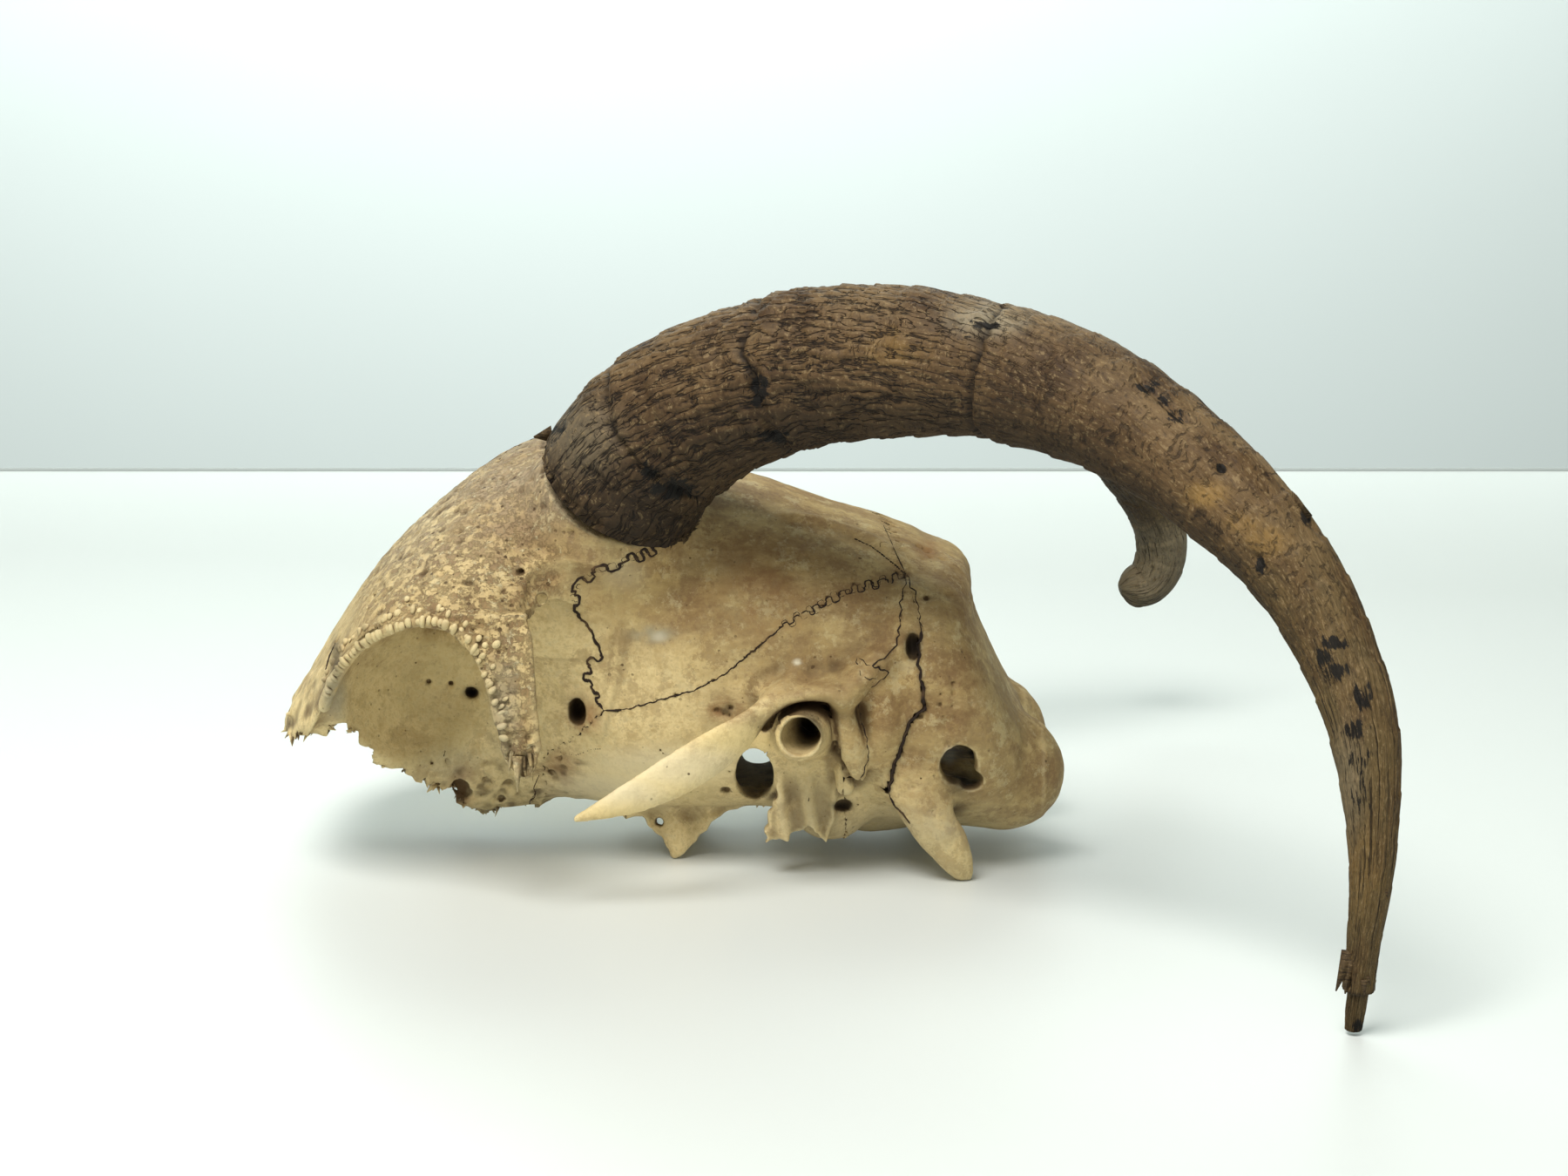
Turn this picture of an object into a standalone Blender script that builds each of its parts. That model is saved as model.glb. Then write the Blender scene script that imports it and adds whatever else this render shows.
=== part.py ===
"""A goat's cranium with its two horn sheaths, lying on a table as it was found.

The face is broken off in front of the eye sockets and there is no lower jaw. The nose end
points to -X, the nape to +X and the animal's left side to -Y. The skull rests on its two
jugular processes, the two pterygoid fragments and the tip of the left horn. The whole
cranium is modelled as one form first, and then parted along the sutures between its bones.
Lengths are in millimetres up to the point where a mesh is made.
"""
import math

import bmesh
import bpy
from mathutils import Vector

MILLIMETRE = 0.001
SEAM = 0.3                      # gap between two bones, and between bone and horn
SIDES = {"left": -1, "right": 1}
FAR = 150.0                     # safely outside the object

# The median profile from the broken nose end to the nape: (x, z).
FOREHEAD = ((-93.0, 22.0), (-90.5, 27.0), (-87.0, 35.0), (-80.6, 46.0), (-73.3, 56.2),
            (-64.0, 65.2), (-54.5, 72.4), (-46.0, 76.4), (-36.0, 78.2), (-26.0, 76.5))

# The braincase and the core between the sockets: (x, half width, top, widest z, bottom).
BRAINCASE = ((-62.0, 15.0, 62.0, 40.0, 9.0),
             (-52.0, 17.5, 70.0, 42.0, 8.0),
             (-44.0, 22.5, 75.0, 43.0, 9.0),
             (-36.0, 26.5, 77.0, 42.0, 9.0),
             (-26.0, 29.6, 75.5, 41.0, 7.5),
             (-15.0, 31.5, 72.5, 40.0, 8.0),
             (-4.0, 32.5, 69.2, 39.0, 8.5),
             (8.0, 33.0, 65.0, 38.5, 7.0),
             (18.0, 33.5, 62.0, 38.0, 5.5),
             (26.0, 34.5, 58.6, 37.0, 5.0),
             (32.0, 34.0, 53.0, 34.0, 5.0),
             (38.0, 31.0, 40.0, 27.0, 6.5),
             (43.0, 25.0, 30.0, 22.0, 9.0),
             (46.0, 16.0, 25.0, 18.0, 12.0))

# The forehead shield that roofs the sockets: (x, half width, z of its edge, thickness).
SHIELD = ((-92.5, 13.0, 22.0, 5.0),
          (-89.5, 21.0, 24.5, 8.0),
          (-85.0, 29.0, 28.5, 11.0),
          (-79.5, 37.5, 36.0, 14.0),
          (-75.0, 41.5, 42.5, 16.0),
          (-69.0, 45.0, 48.0, 17.0),
          (-62.0, 47.5, 50.5, 18.0),
          (-55.0, 49.5, 49.0, 18.0),
          (-50.0, 50.0, 46.5, 15.0),
          (-46.0, 45.0, 49.0, 9.0),
          (-41.0, 37.0, 53.5, 9.0),
          (-35.0, 31.0, 57.0, 10.0),
          (-27.0, 24.0, 62.0, 10.0))

# The core of the face between the sockets, open in front: (x, half width, top, bottom).
FACE_CORE = ((-91.0, 15.0, 30.0, 20.0),
             (-86.0, 25.0, 36.0, 21.0),
             (-80.0, 31.0, 44.0, 22.0),
             (-72.0, 27.0, 52.0, 14.0),
             (-64.0, 20.0, 56.0, 8.0),
             (-56.0, 16.5, 60.0, 6.0),
             (-46.0, 15.5, 60.0, 7.5))

CROWN_POWER = 2.1                      # how square a section is, above and below its widest line
KEEL_POWER = 2.6
FACE_POWERS = (2.6, 3.2)
FACE_WIDEST = 0.6                      # the face is widest this far up its height
ROOF_POWER = 2.3                       # the roof falls away to its edges with this power
ROOF_EDGE = 2.6                        # thickness of the roof at its edges
ROOF_TUCK = 0.97                       # its underside is this much narrower

# Hollows and swellings: centre and radii on the right side of the skull.
SOCKET = ((-61.5, 42.5, 30.5), (18.0, 27.5, 19.5))
NASAL = ((-89.0, 0.0, 20.0), (22.0, 19.0, 19.0))
FORAMEN = ((42.0, 0.0, 19.0), (14.0, 10.0, 9.0))
TEMPLE = ((-40.0, 22.0, 50.0), (12.0, 7.5, 13.0))
BULLA = ((8.5, 19.0, 14.5), (8.5, 8.0, 9.5))
BASE_SWELLING = ((16.0, 9.5, 11.0), (10.0, 8.0, 6.8))
CONDYLE = ((40.0, 15.5, 17.0), (11.4, 9.2, 11.4))
CONDYLE_LEAN = (0.35, 0.25, 0.9)       # direction of a condyle's own upright axis

EAR_AXIS = (3.6, 28.3)                 # x and z of the ear tube
EAR_TUBE = ((1.0, 24.0, -1.5, 7.0), (0.4, 30.0, -0.6, 5.4), (0.0, 36.0, 0.0, 4.3), (0.0, 41.0, 0.0, 4.1))
EAR_BORE = (2.5, 29.0, 43.0)           # radius, inner and outer end
PLATE = ((-1.6, 33.0), (8.6, 33.0), (9.6, 16.0), (8.2, 4.0), (-2.6, 4.0), (-1.2, 18.0))
PLATE_REACH = (24.6, 28.0)             # inner and outer face of the plate below the ear tube
WING_ROOT = ((-30.5, 16.0), (-7.0, 16.0), (-8.6, 11.2))
WING_REACH = (12.8, 15.6)              # inner and outer face of a pterygoid fragment

# Rods on the right side of the skull: (x, across, z, radius).
SOCKET_RIM = ((-80.5, 36.0, 33.0, 1.8), (-78.5, 38.4, 38.4, 2.1), (-74.5, 41.6, 43.4, 2.1),
              (-69.0, 44.8, 47.6, 2.1), (-62.0, 47.2, 49.8, 2.1), (-55.5, 49.0, 48.4, 2.4),
              (-50.5, 50.4, 44.0, 3.0), (-47.6, 51.6, 38.0, 3.3), (-46.0, 52.2, 32.0, 2.9),
              (-45.0, 52.0, 27.5, 1.9), (-44.6, 51.8, 25.2, 0.9))
NAPE_CREST = ((29.9, 0.0, 52.0, 4.6), (28.8, 16.0, 50.6, 4.2), (26.6, 27.5, 45.7, 3.4),
              (24.0, 31.5, 38.0, 1.6))
# The process beside the nape that the skull rests on.
JUGULAR = ((21.5, 27.0, 22.0, 6.5), (23.4, 29.5, 16.5, 4.8), (26.5, 30.5, 10.8, 4.3), (28.9, 30.4, 7.4, 3.8),
           (30.6, 30.0, 4.4, 3.0), (32.0, 29.4, 1.8, 2.0), (32.3, 29.0, -0.6, 1.2))
JUGULAR_FLATTEN = 0.7
# The free end of the cheek arch: (x, across, z, height, thickness).
BLADE = ((-36.0, 48.0, 16.0, 1.0, 1.4), (-30.0, 47.8, 18.4, 4.8, 2.0), (-22.0, 46.8, 21.8, 8.8, 2.4),
         (-14.0, 45.0, 25.8, 10.4, 2.8), (-7.0, 41.5, 29.6, 8.8, 3.4), (-1.5, 36.5, 34.2, 6.4, 5.0),
         (4.0, 29.0, 37.8, 7.0, 6.0))
BLADE_LEAN = 0.125                     # how far its upper edge lies towards the nape

# Horn centrelines, base to tip: (x, across, z, thickness). The right horn is broken off.
LEFT_HORN = ((-29.0, 27.0, 70.5, 33.0),
             (-23.5, 31.5, 78.8, 30.4),
             (-12.5, 37.5, 86.8, 27.4),
             (3.5, 45.5, 92.6, 25.6),
             (18.4, 53.5, 94.3, 24.3),
             (32.0, 62.0, 93.6, 21.6),
             (44.3, 70.5, 90.6, 20.2),
             (55.6, 79.0, 85.0, 18.0),
             (68.3, 89.5, 74.5, 15.4),
             (75.9, 96.0, 65.2, 13.4),
             (81.2, 102.0, 54.5, 11.6),
             (84.2, 107.5, 43.0, 10.1),
             (84.8, 111.5, 28.0, 7.0),
             (83.8, 112.5, 14.0, 4.8),
             (83.1, 111.0, -0.6, 2.4))
RIGHT_HORN = ((-29.0, 27.0, 70.5, 33.0),
              (-23.5, 31.5, 77.6, 30.4),
              (-12.5, 37.5, 83.6, 27.4),
              (3.5, 45.5, 87.6, 25.6),
              (18.4, 53.5, 89.4, 24.3),
              (32.0, 62.0, 89.0, 21.8),
              (44.5, 70.5, 86.0, 20.2),
              (56.5, 79.0, 80.5, 18.0),
              (70.5, 89.0, 69.5, 15.6),
              (79.0, 95.5, 60.0, 13.8),
              (85.0, 101.0, 49.5, 12.4),
              (87.0, 104.5, 40.0, 11.6),
              (84.2, 105.6, 33.2, 10.6),
              (77.8, 105.0, 31.4, 8.6))
HORNS = {-1: LEFT_HORN, 1: RIGHT_HORN}
HORN_BASE_AXIS = (0.40, 0.57, 0.72)    # square to the plane that a sheath starts on
HORN_PLANE = (0.57, 0.81, -0.11)       # square to the plane that a horn curls in
PEDICLE_RADII = (16.0, 14.2)
PEDICLE_SPREAD = ((-22.0, 1.2), (-12.0, 1.1), (-5.0, 1.0), (-SEAM, 0.93))  # along the axis, share
PEDICLE_SIDES = 20
HORN_SIDES = 18
HORN_STEPS = 3                         # rings between two stations of the path
RING_SPACING = 9.0                     # growth rings along the sheath
RING_DEPTH = 0.35
FULL_RING = 20.0                       # rings fade where the horn is thinner than this
HORN_SQUASH = 0.9                      # a horn is a little flatter from side to side

# Side views (x, z) of the sutures and broken edges.
CORONAL = ((-12.0, 96.0), (-14.5, 74.0), (-18.5, 64.5), (-28.2, 58.0), (-35.5, 55.0),
           (-36.9, 49.1), (-32.6, 41.0), (-35.4, 36.6), (-32.2, 30.6))
FRONTAL_FOOT = ((-37.0, 25.5), (-43.0, 21.0), (-47.0, 9.0))
BROKEN_FACE = ((-50.1, 8.8), (-53.0, 9.6), (-57.4, 7.3), (-60.5, 9.4), (-62.0, 13.6), (-66.0, 13.2),
               (-69.5, 18.5), (-73.1, 18.0), (-75.0, 23.5), (-78.8, 28.6), (-83.0, 25.4),
               (-86.0, 27.4), (-88.0, 24.6), (-94.5, 24.6))
SQUAMOSAL = ((-29.0, 30.8), (-15.5, 35.2), (-10.4, 38.1), (-0.3, 46.6), (3.0, 48.4))
SQUAMOSAL_REAR = ((9.9, 51.8), (21.6, 54.8))
SQUAMA_FOOT = ((-20.0, 21.5), (-8.0, 19.5))
MASTOID_FRONT = ((20.4, 47.6), (19.1, 43.6), (13.4, 36.0), (12.6, 32.6), (14.3, 26.6), (13.5, 19.4))
MASTOID_BACK = ((24.0, 46.3), (23.8, 36.9), (24.6, 32.2), (20.8, 24.2), (18.5, 16.5))
NAPE_TOP = ((17.5, 63.0), (16.5, 96.0))
EAR_REAR = ((11.2, 9.0), (10.4, 19.4), (9.9, 27.0), (8.6, 31.2), (5.6, 33.5))
EAR_FRONT = ((2.4, 33.7), (-0.8, 31.6), (-2.2, 28.0), (-2.8, 24.0), (-5.0, 15.0))
PLATE_FOOT = ((-4.2, 6.2), (-1.8, 8.2), (-0.4, 5.4), (2.2, 8.6), (4.6, 7.2), (7.4, 5.2), (8.6, 9.0))
PTERYGOID_TOP = 10.8
PTERYGOID_ENDS = (-7.8, -31.0)
EAR_TOP = 33.7
PTERYGOID = ((-31.0, 8.4), (-29.0, 7.4), (-26.6, 8.8), (-24.4, 5.2), (-22.6, 4.4), (-20.6, -0.8),
             (-18.4, -0.8), (-16.0, 3.4), (-13.4, 6.8), (-10.2, 9.2), (-7.8, 9.6))
MIDDLE_X = 3.0                         # where sphenoid and occipital meet below
EAR_DEPTH = 11.0                       # the ear bone starts this far from the median plane
SQUAMA_DEPTH = 17.0                    # and the temporal and mastoid bones this far
ARCH_DEPTH = 33.0                      # the cheek arch stands clear of the side wall from here on
ARCH = ((-40.0, 10.0), (-40.0, 22.0), (-6.0, 40.0), (2.4, 46.0), (4.0, 42.0))
BULLA_DEPTH = 24.0
PTERYGOID_DEPTH = 18.0
SPHENOID_REACH = 32.0
NOSE_Z, ROOF_Z, FLOOR_Z = 24.6, 96.0, -5.0   # heights outside the skull that close the outlines
BULLA_FRONT, BULLA_BACK = (-5.0, FLOOR_Z), (11.2, FLOOR_Z)
MERGE = 0.002                          # points nearer than this are one
SHARP_ANGLE = 40.0                     # degrees

COLOURS = {"bone": (0.74, 0.62, 0.42), "pale_bone": (0.80, 0.71, 0.52), "horn": (0.16, 0.10, 0.065)}


def remove_everything():
    for item in list(bpy.data.objects):
        bpy.data.objects.remove(item, do_unlink=True)
    for group in list(bpy.data.collections):
        bpy.data.collections.remove(group)


def make_material(name, colour, roughness):
    material = bpy.data.materials.new(name)
    material.use_nodes = True
    shader = material.node_tree.nodes["Principled BSDF"]
    shader.inputs["Base Color"].default_value = (*colour, 1.0)
    shader.inputs["Roughness"].default_value = roughness
    shader.inputs["Metallic"].default_value = 0.0
    return material


def make_group(name):
    group = bpy.data.collections.new(name)
    bpy.context.scene.collection.children.link(group)
    return group


remove_everything()
SKULL = make_group("goat_skull")
CUTTERS = make_group("cutters")


# Curves through stations.

def eased(stations, x):
    """The stations' other values at x, on a smooth curve that doesn't overshoot."""
    if x <= stations[0][0]:
        return stations[0][1:]
    if x >= stations[-1][0]:
        return stations[-1][1:]
    k = max(i for i in range(len(stations) - 1) if stations[i][0] <= x)
    near, far = stations[k], stations[k + 1]
    before, after = stations[max(k - 1, 0)], stations[min(k + 2, len(stations) - 1)]
    span = far[0] - near[0]
    t = (x - near[0]) / span
    values = []
    for a, b, c, d in zip(before[1:], near[1:], far[1:], after[1:]):
        start = (c - a) / (far[0] - before[0]) * span
        end = (d - b) / (after[0] - near[0]) * span
        values.append((2 * t**3 - 3 * t**2 + 1) * b + (t**3 - 2 * t**2 + t) * start
                      + (3 * t**2 - 2 * t**3) * c + (t**3 - t**2) * end)
    return values


def through(points, steps):
    """Points on a smooth curve through the given ones, with steps between each two."""
    table = [(k, *point) for k, point in enumerate(points)]
    count = (len(points) - 1) * steps
    return [eased(table, k / steps) for k in range(count + 1)]


def mirrored(place, side):
    return Vector((place[0], side * place[1], place[2]))


# Meshes.

def file_under(group, item):
    for old in list(item.users_collection):
        old.objects.unlink(item)
    group.objects.link(item)
    item.display_type = "WIRE" if group is CUTTERS else "TEXTURED"
    item.hide_render = group is CUTTERS
    return item


def make_object(name, form):
    mesh = bpy.data.meshes.new(name)
    form.to_mesh(mesh)
    form.free()
    return file_under(CUTTERS, bpy.data.objects.new(name, mesh))


def circle(sides):
    return [math.tau * k / sides for k in range(sides)]


def loft(name, rings):
    """A closed skin over rings of points with the same count, capped at both ends."""
    form = bmesh.new()
    made = [[form.verts.new(Vector(point) * MILLIMETRE) for point in ring] for ring in rings]
    for ring, following in zip(made, made[1:]):
        for k in range(len(ring)):
            j = (k + 1) % len(ring)
            form.faces.new((ring[k], ring[j], following[j], following[k]))
    form.faces.new(reversed(made[0]))
    form.faces.new(made[-1])
    caps = [face for face in form.faces if len(face.verts) > 4]
    bmesh.ops.triangulate(form, faces=caps)
    bmesh.ops.recalc_face_normals(form, faces=form.faces)
    return make_object(name, form)


def ball(name, form, side=1, segments=22, rings=14):
    """An ellipsoid from its centre and radii, on one side of the skull."""
    (x, across, z), radii = form
    bpy.ops.mesh.primitive_uv_sphere_add(segments=segments, ring_count=rings, radius=MILLIMETRE)
    item = bpy.context.object
    item.name = name
    centre = Vector((x, side * across, z)) * MILLIMETRE
    for point in item.data.vertices:
        point.co = Vector([p * r for p, r in zip(point.co, radii)]) + centre
    return file_under(CUTTERS, item)


def rod(name, stations, side=1, sides=12, steps=3, flatten=1.0, reference=(0.0, 1.0, 0.0)):
    """A tapering rod along stations of (x, across, z, radius), flattened towards the reference."""
    path = through(stations, steps)
    rings = []
    for k, (x, across, z, radius) in enumerate(path):
        ahead, behind = path[min(k + 1, len(path) - 1)], path[max(k - 1, 0)]
        along = (mirrored(ahead, side) - mirrored(behind, side)).normalized()
        first = along.cross(Vector(reference)).normalized()
        second = along.cross(first) * flatten
        centre = Vector((x, side * across, z))
        rings.append([centre + (first * math.cos(a) + second * math.sin(a)) * radius for a in circle(sides)])
    return loft(name, rings)


def prism(name, outline, low, high):
    """A side-view outline of (x, z) points, drawn out across the skull from low to high."""
    form = bmesh.new()
    flat = [form.verts.new(Vector((x, low, z)) * MILLIMETRE) for x, z in outline]
    face = form.faces.new(flat)
    drawn = bmesh.ops.extrude_face_region(form, geom=[face])
    moved = [v for v in drawn["geom"] if isinstance(v, bmesh.types.BMVert)]
    bmesh.ops.translate(form, verts=moved, vec=Vector((0.0, high - low, 0.0)) * MILLIMETRE)
    bmesh.ops.recalc_face_normals(form, faces=form.faces)
    return make_object(name, form)


def inset(outline, distance):
    """The outline with every edge moved inwards by a distance."""
    area = sum(a[0] * b[1] - b[0] * a[1] for a, b in zip(outline, outline[1:] + outline[:1]))
    turn = 1 if area > 0 else -1
    result = []
    for k, point in enumerate(outline):
        before = Vector(point) - Vector(outline[k - 1])
        after = Vector(outline[(k + 1) % len(outline)]) - Vector(point)
        normal_a = Vector((-before.y, before.x)).normalized() * turn
        normal_b = Vector((-after.y, after.x)).normalized() * turn
        middle = normal_a + normal_b
        reach = distance / max(middle.dot(normal_a), 0.35)
        result.append(tuple(Vector(point) + middle * reach))
    return result


# Boolean work.

def apply_boolean(item, operation, operand, solver="MANIFOLD"):
    step = item.modifiers.new("cut", "BOOLEAN")
    step.operation = operation
    step.solver = solver
    if isinstance(operand, bpy.types.Collection):
        step.operand_type = "COLLECTION"
        step.collection = operand
    else:
        step.object = operand
    graph = bpy.context.evaluated_depsgraph_get()
    mesh = bpy.data.meshes.new_from_object(item.evaluated_get(graph))
    item.modifiers.clear()
    old = item.data
    item.data = mesh
    bpy.data.meshes.remove(old)


def discard(items):
    for item in items:
        bpy.data.objects.remove(item, do_unlink=True)


def fuse(items):
    """One Boolean union of closed meshes, which are removed; the first becomes the whole."""
    whole, others = items[0], items[1:]
    group = bpy.data.collections.new("joined")
    for item in others:
        group.objects.link(item)
    apply_boolean(whole, "UNION", group)
    discard(others)
    bpy.data.collections.remove(group)
    return whole


def cut_away(item, cutters):
    group = bpy.data.collections.new("cut")
    for cutter in cutters:
        group.objects.link(cutter)
    apply_boolean(item, "DIFFERENCE", group)
    discard(cutters)
    bpy.data.collections.remove(group)


def keep_largest(item):
    """Only the largest closed surface stays."""
    form = bmesh.new()
    form.from_mesh(item.data)
    bmesh.ops.remove_doubles(form, verts=form.verts, dist=MERGE * MILLIMETRE)
    bmesh.ops.triangulate(form, faces=form.faces)
    form.faces.ensure_lookup_table()
    unseen, islands = set(form.faces), []
    while unseen:
        island, edge = set(), [next(iter(unseen))]
        while edge:
            face = edge.pop()
            if face in island:
                continue
            island.add(face)
            edge.extend(other for side in face.edges for other in side.link_faces
                        if other not in island)
        unseen -= island
        islands.append(island)
    islands.sort(key=lambda faces: (len(faces), sum(face.calc_area() for face in faces)))
    loose = [face for island in islands[:-1] for face in island]
    bmesh.ops.delete(form, geom=loose, context="FACES")
    form.to_mesh(item.data)
    form.free()


def centre_on_origin(items):
    """One empty carries every piece, so that the middle of the whole foot plan is the origin."""
    corners = [point.co for item in items for point in item.data.vertices]
    carrier = bpy.data.objects.new("skull_carrier", None)
    SKULL.objects.link(carrier)
    middle = [(min(c[k] for c in corners) + max(c[k] for c in corners)) / 2.0 for k in (0, 1)]
    carrier.location = (-middle[0], -middle[1], 0.0)
    for item in items:
        item.parent = carrier


def finish(item, name, material):
    """Files a finished bone or horn in the skull's collection."""
    keep_largest(item)
    item.name = name
    item.data.name = name
    item.data.materials.clear()
    item.data.materials.append(material)
    item.data.shade_smooth()
    item.data.set_sharp_from_angle(angle=math.radians(SHARP_ANGLE))
    return file_under(SKULL, item)


# The whole cranium, before it is parted.

def rounded(width, top, widest, bottom, sides=36, powers=(CROWN_POWER, KEEL_POWER)):
    """One section of a rounded form as (y, z) points."""
    points = []
    for angle in circle(sides):
        side, rise = math.cos(angle), math.sin(angle)
        power = powers[0] if rise > 0 else powers[1]
        height = (top - widest) if rise > 0 else (widest - bottom)
        y = width * math.copysign(abs(side) ** (2 / power), side)
        points.append((y, widest + height * math.copysign(abs(rise) ** (2 / power), rise)))
    return points


def steps_between(table, count):
    """Even steps in x from a table's first station to its last."""
    first, last = table[0][0], table[-1][0]
    return [first + (last - first) * k / count for k in range(count + 1)]


def make_braincase():
    rings = []
    for x in steps_between(BRAINCASE, 24):
        rings.append([(x, y, z) for y, z in rounded(*eased(BRAINCASE, x))])
    return loft("braincase", rings)


def make_roof(columns=16):
    """The arched roof of forehead and sockets, thinning towards its edges."""
    rings = []
    for x in steps_between(SHIELD, 24):
        half, edge, thickness = eased(SHIELD, x)
        top, = eased(FOREHEAD, x)
        upper, lower = [], []
        for k in range(columns + 1):
            share = 2.0 * k / columns - 1.0
            drop = abs(share) ** ROOF_POWER
            z = top + (edge - top) * drop
            depth = thickness + (ROOF_EDGE - thickness) * drop
            upper.append((x, half * share, z))
            lower.append((x, half * share * ROOF_TUCK, z - depth))
        rings.append(upper + lower[::-1])
    return loft("roof", rings)


def make_face_core():
    rings = []
    for x in steps_between(FACE_CORE, 12):
        half, top, bottom = eased(FACE_CORE, x)
        widest = bottom + (top - bottom) * FACE_WIDEST
        outline = rounded(half, top, widest, bottom, sides=28, powers=FACE_POWERS)
        rings.append([(x, y, z) for y, z in outline])
    return loft("face_core", rings)


def make_socket_rim(side):
    """The raised border over a socket and the process that hangs behind it."""
    return rod("rim", SOCKET_RIM, side, steps=2)


def make_pedicle(side):
    """The stump of the horn core, up to the horn's base plane."""
    centre, axis, first, second = horn_base(side)
    long_radius, short_radius = PEDICLE_RADII
    rings = []
    for depth, spread in PEDICLE_SPREAD:
        middle = centre + axis * depth
        long_way, short_way = first * long_radius * spread, second * short_radius * spread
        rings.append([middle + long_way * math.cos(a) + short_way * math.sin(a)
                      for a in circle(PEDICLE_SIDES)])
    return loft("pedicle", rings)


def make_jugular(side):
    return rod("jugular", JUGULAR, side, flatten=JUGULAR_FLATTEN)


def make_blade(side, sides=12):
    """The free front end of the cheek arch, a thin leaf that bows outwards."""
    rings = []
    for x, across, z, height, thickness in through(BLADE, 3):
        ring = []
        for a in circle(sides):
            y = across + 0.5 * thickness * math.cos(a)
            ring.append((x + BLADE_LEAN * height * math.sin(a), side * y, z + 0.5 * height * math.sin(a)))
        rings.append(ring)
    return loft("blade", rings)


def make_ear(side):
    x, z = EAR_AXIS
    stations = [(x + dx, across, z + dz, radius) for dx, across, dz, radius in EAR_TUBE]
    return rod("ear", stations, side, sides=20, steps=2, reference=(0.0, 0.0, 1.0))


def make_ear_bore(side):
    x, z = EAR_AXIS
    radius, inner, outer = EAR_BORE
    ends = [(x, across, z, radius) for across in (inner, outer)]
    return rod("bore", ends, side, sides=14, steps=1, reference=(0.0, 0.0, 1.0))


def make_ear_plate(side):
    """The thin plate of the ear bone that hangs below the tube."""
    return prism("plate", PLATE, *sorted(side * across for across in PLATE_REACH))


def make_condyle(side):
    """One of the two knuckles that the neck's first bone turned on."""
    centre, radii = CONDYLE
    item = ball("condyle", ((0.0, 0.0, 0.0), radii))
    lean = Vector((0.0, 0.0, 1.0)).rotation_difference(mirrored(CONDYLE_LEAN, side))
    for point in item.data.vertices:
        point.co = lean @ point.co + mirrored(centre, side) * MILLIMETRE
    return item


def make_nape_crest():
    """The rough ridge that crosses the top of the nape."""
    left_half = [(x, -across, z, radius) for x, across, z, radius in NAPE_CREST[:0:-1]]
    return rod("crest", left_half + list(NAPE_CREST), sides=10, steps=2, reference=(0.0, 0.0, 1.0))


def make_wing_plate(side):
    """The pterygoid fragment, a thin plate below the base of the skull."""
    outline = WING_ROOT + PTERYGOID[-2::-1]
    return prism("wing", outline, *sorted(side * across for across in WING_REACH))


def horn_base(side):
    """Centre, axis and two cross directions of the plane that the sheath starts on."""
    x, across, z, _ = LEFT_HORN[0]
    centre = Vector((x, side * across, z))
    axis = mirrored(HORN_BASE_AXIS, side).normalized()
    forward = Vector((1.0, 0.0, 0.0))
    first = (forward - axis * forward.dot(axis)).normalized()
    return centre, axis, first, axis.cross(first)


def make_horn(side, stations, clearance=0.0):
    """A sheath lofted along its centreline, with low growth rings that fade to the tip."""
    path = through(stations, HORN_STEPS)
    base_axis = horn_base(side)[1]
    plane = mirrored(HORN_PLANE, side)
    rings, length, last = [], 0.0, None
    for k, station in enumerate(path):
        here, thickness = mirrored(station, side), station[3]
        length += (here - last).length if last else 0.0
        last = here
        centre = here if k else here - base_axis * clearance
        ahead, behind = path[min(k + 1, len(path) - 1)], path[max(k - 1, 0)]
        along = (mirrored(ahead, side) - mirrored(behind, side)).normalized()
        turn = min(k / (2.0 * HORN_STEPS), 1.0)
        normal = (base_axis * (1.0 - turn) + along * turn).normalized()
        wide = (plane - normal * plane.dot(normal)).normalized()
        high = normal.cross(wide)
        swell = RING_DEPTH * math.cos(math.tau * length / RING_SPACING) * min(thickness / FULL_RING, 1.0)
        radius = 0.5 * thickness + swell + clearance
        rings.append([centre + (high * math.cos(a) + wide * math.sin(a) * HORN_SQUASH) * radius
                      for a in circle(HORN_SIDES)])
    return loft("horn", rings)


# The regions that the sutures bound.

def slab(outline, side, low, high):
    """A side-view outline kept half a seam inside its border, from low to high on one side."""
    ends = sorted((side * low, side * high))
    return prism("region", inset(list(outline), 0.5 * SEAM), *ends)


def both_ways(outline, reach):
    return prism("region", inset(list(outline), 0.5 * SEAM), -reach, reach)


def frontal_region(side):
    outline = CORONAL + FRONTAL_FOOT + BROKEN_FACE + ((-FAR, NOSE_Z), (-FAR, ROOF_Z))
    return slab(outline, side, 0.5 * SEAM, FAR)


def parietal_region():
    outline = CORONAL + SQUAMOSAL + SQUAMOSAL_REAR + NAPE_TOP
    return both_ways(outline, FAR)


def temporal_region(side):
    squama = (SQUAMOSAL + SQUAMOSAL_REAR + MASTOID_FRONT + EAR_REAR[1:] + EAR_FRONT[:-1]
              + SQUAMA_FOOT[::-1])
    arch = ARCH + EAR_FRONT[:-1]
    inner = SQUAMA_DEPTH + 0.5 * SEAM
    return fuse([slab(squama, side, inner, FAR), slab(arch, side, ARCH_DEPTH, FAR)])


def mastoid_region(side):
    outline = SQUAMOSAL_REAR[-1:] + MASTOID_BACK + MASTOID_FRONT[::-1]
    return slab(outline, side, SQUAMA_DEPTH + 0.5 * SEAM, FAR)


def tympanic_region(side):
    inner = EAR_DEPTH + 0.5 * SEAM
    ear = EAR_FRONT + PLATE_FOOT + EAR_REAR
    bulla = EAR_FRONT + (BULLA_FRONT, BULLA_BACK) + EAR_REAR
    return fuse([slab(ear, side, inner, FAR), slab(bulla, side, inner, BULLA_DEPTH)])


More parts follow.
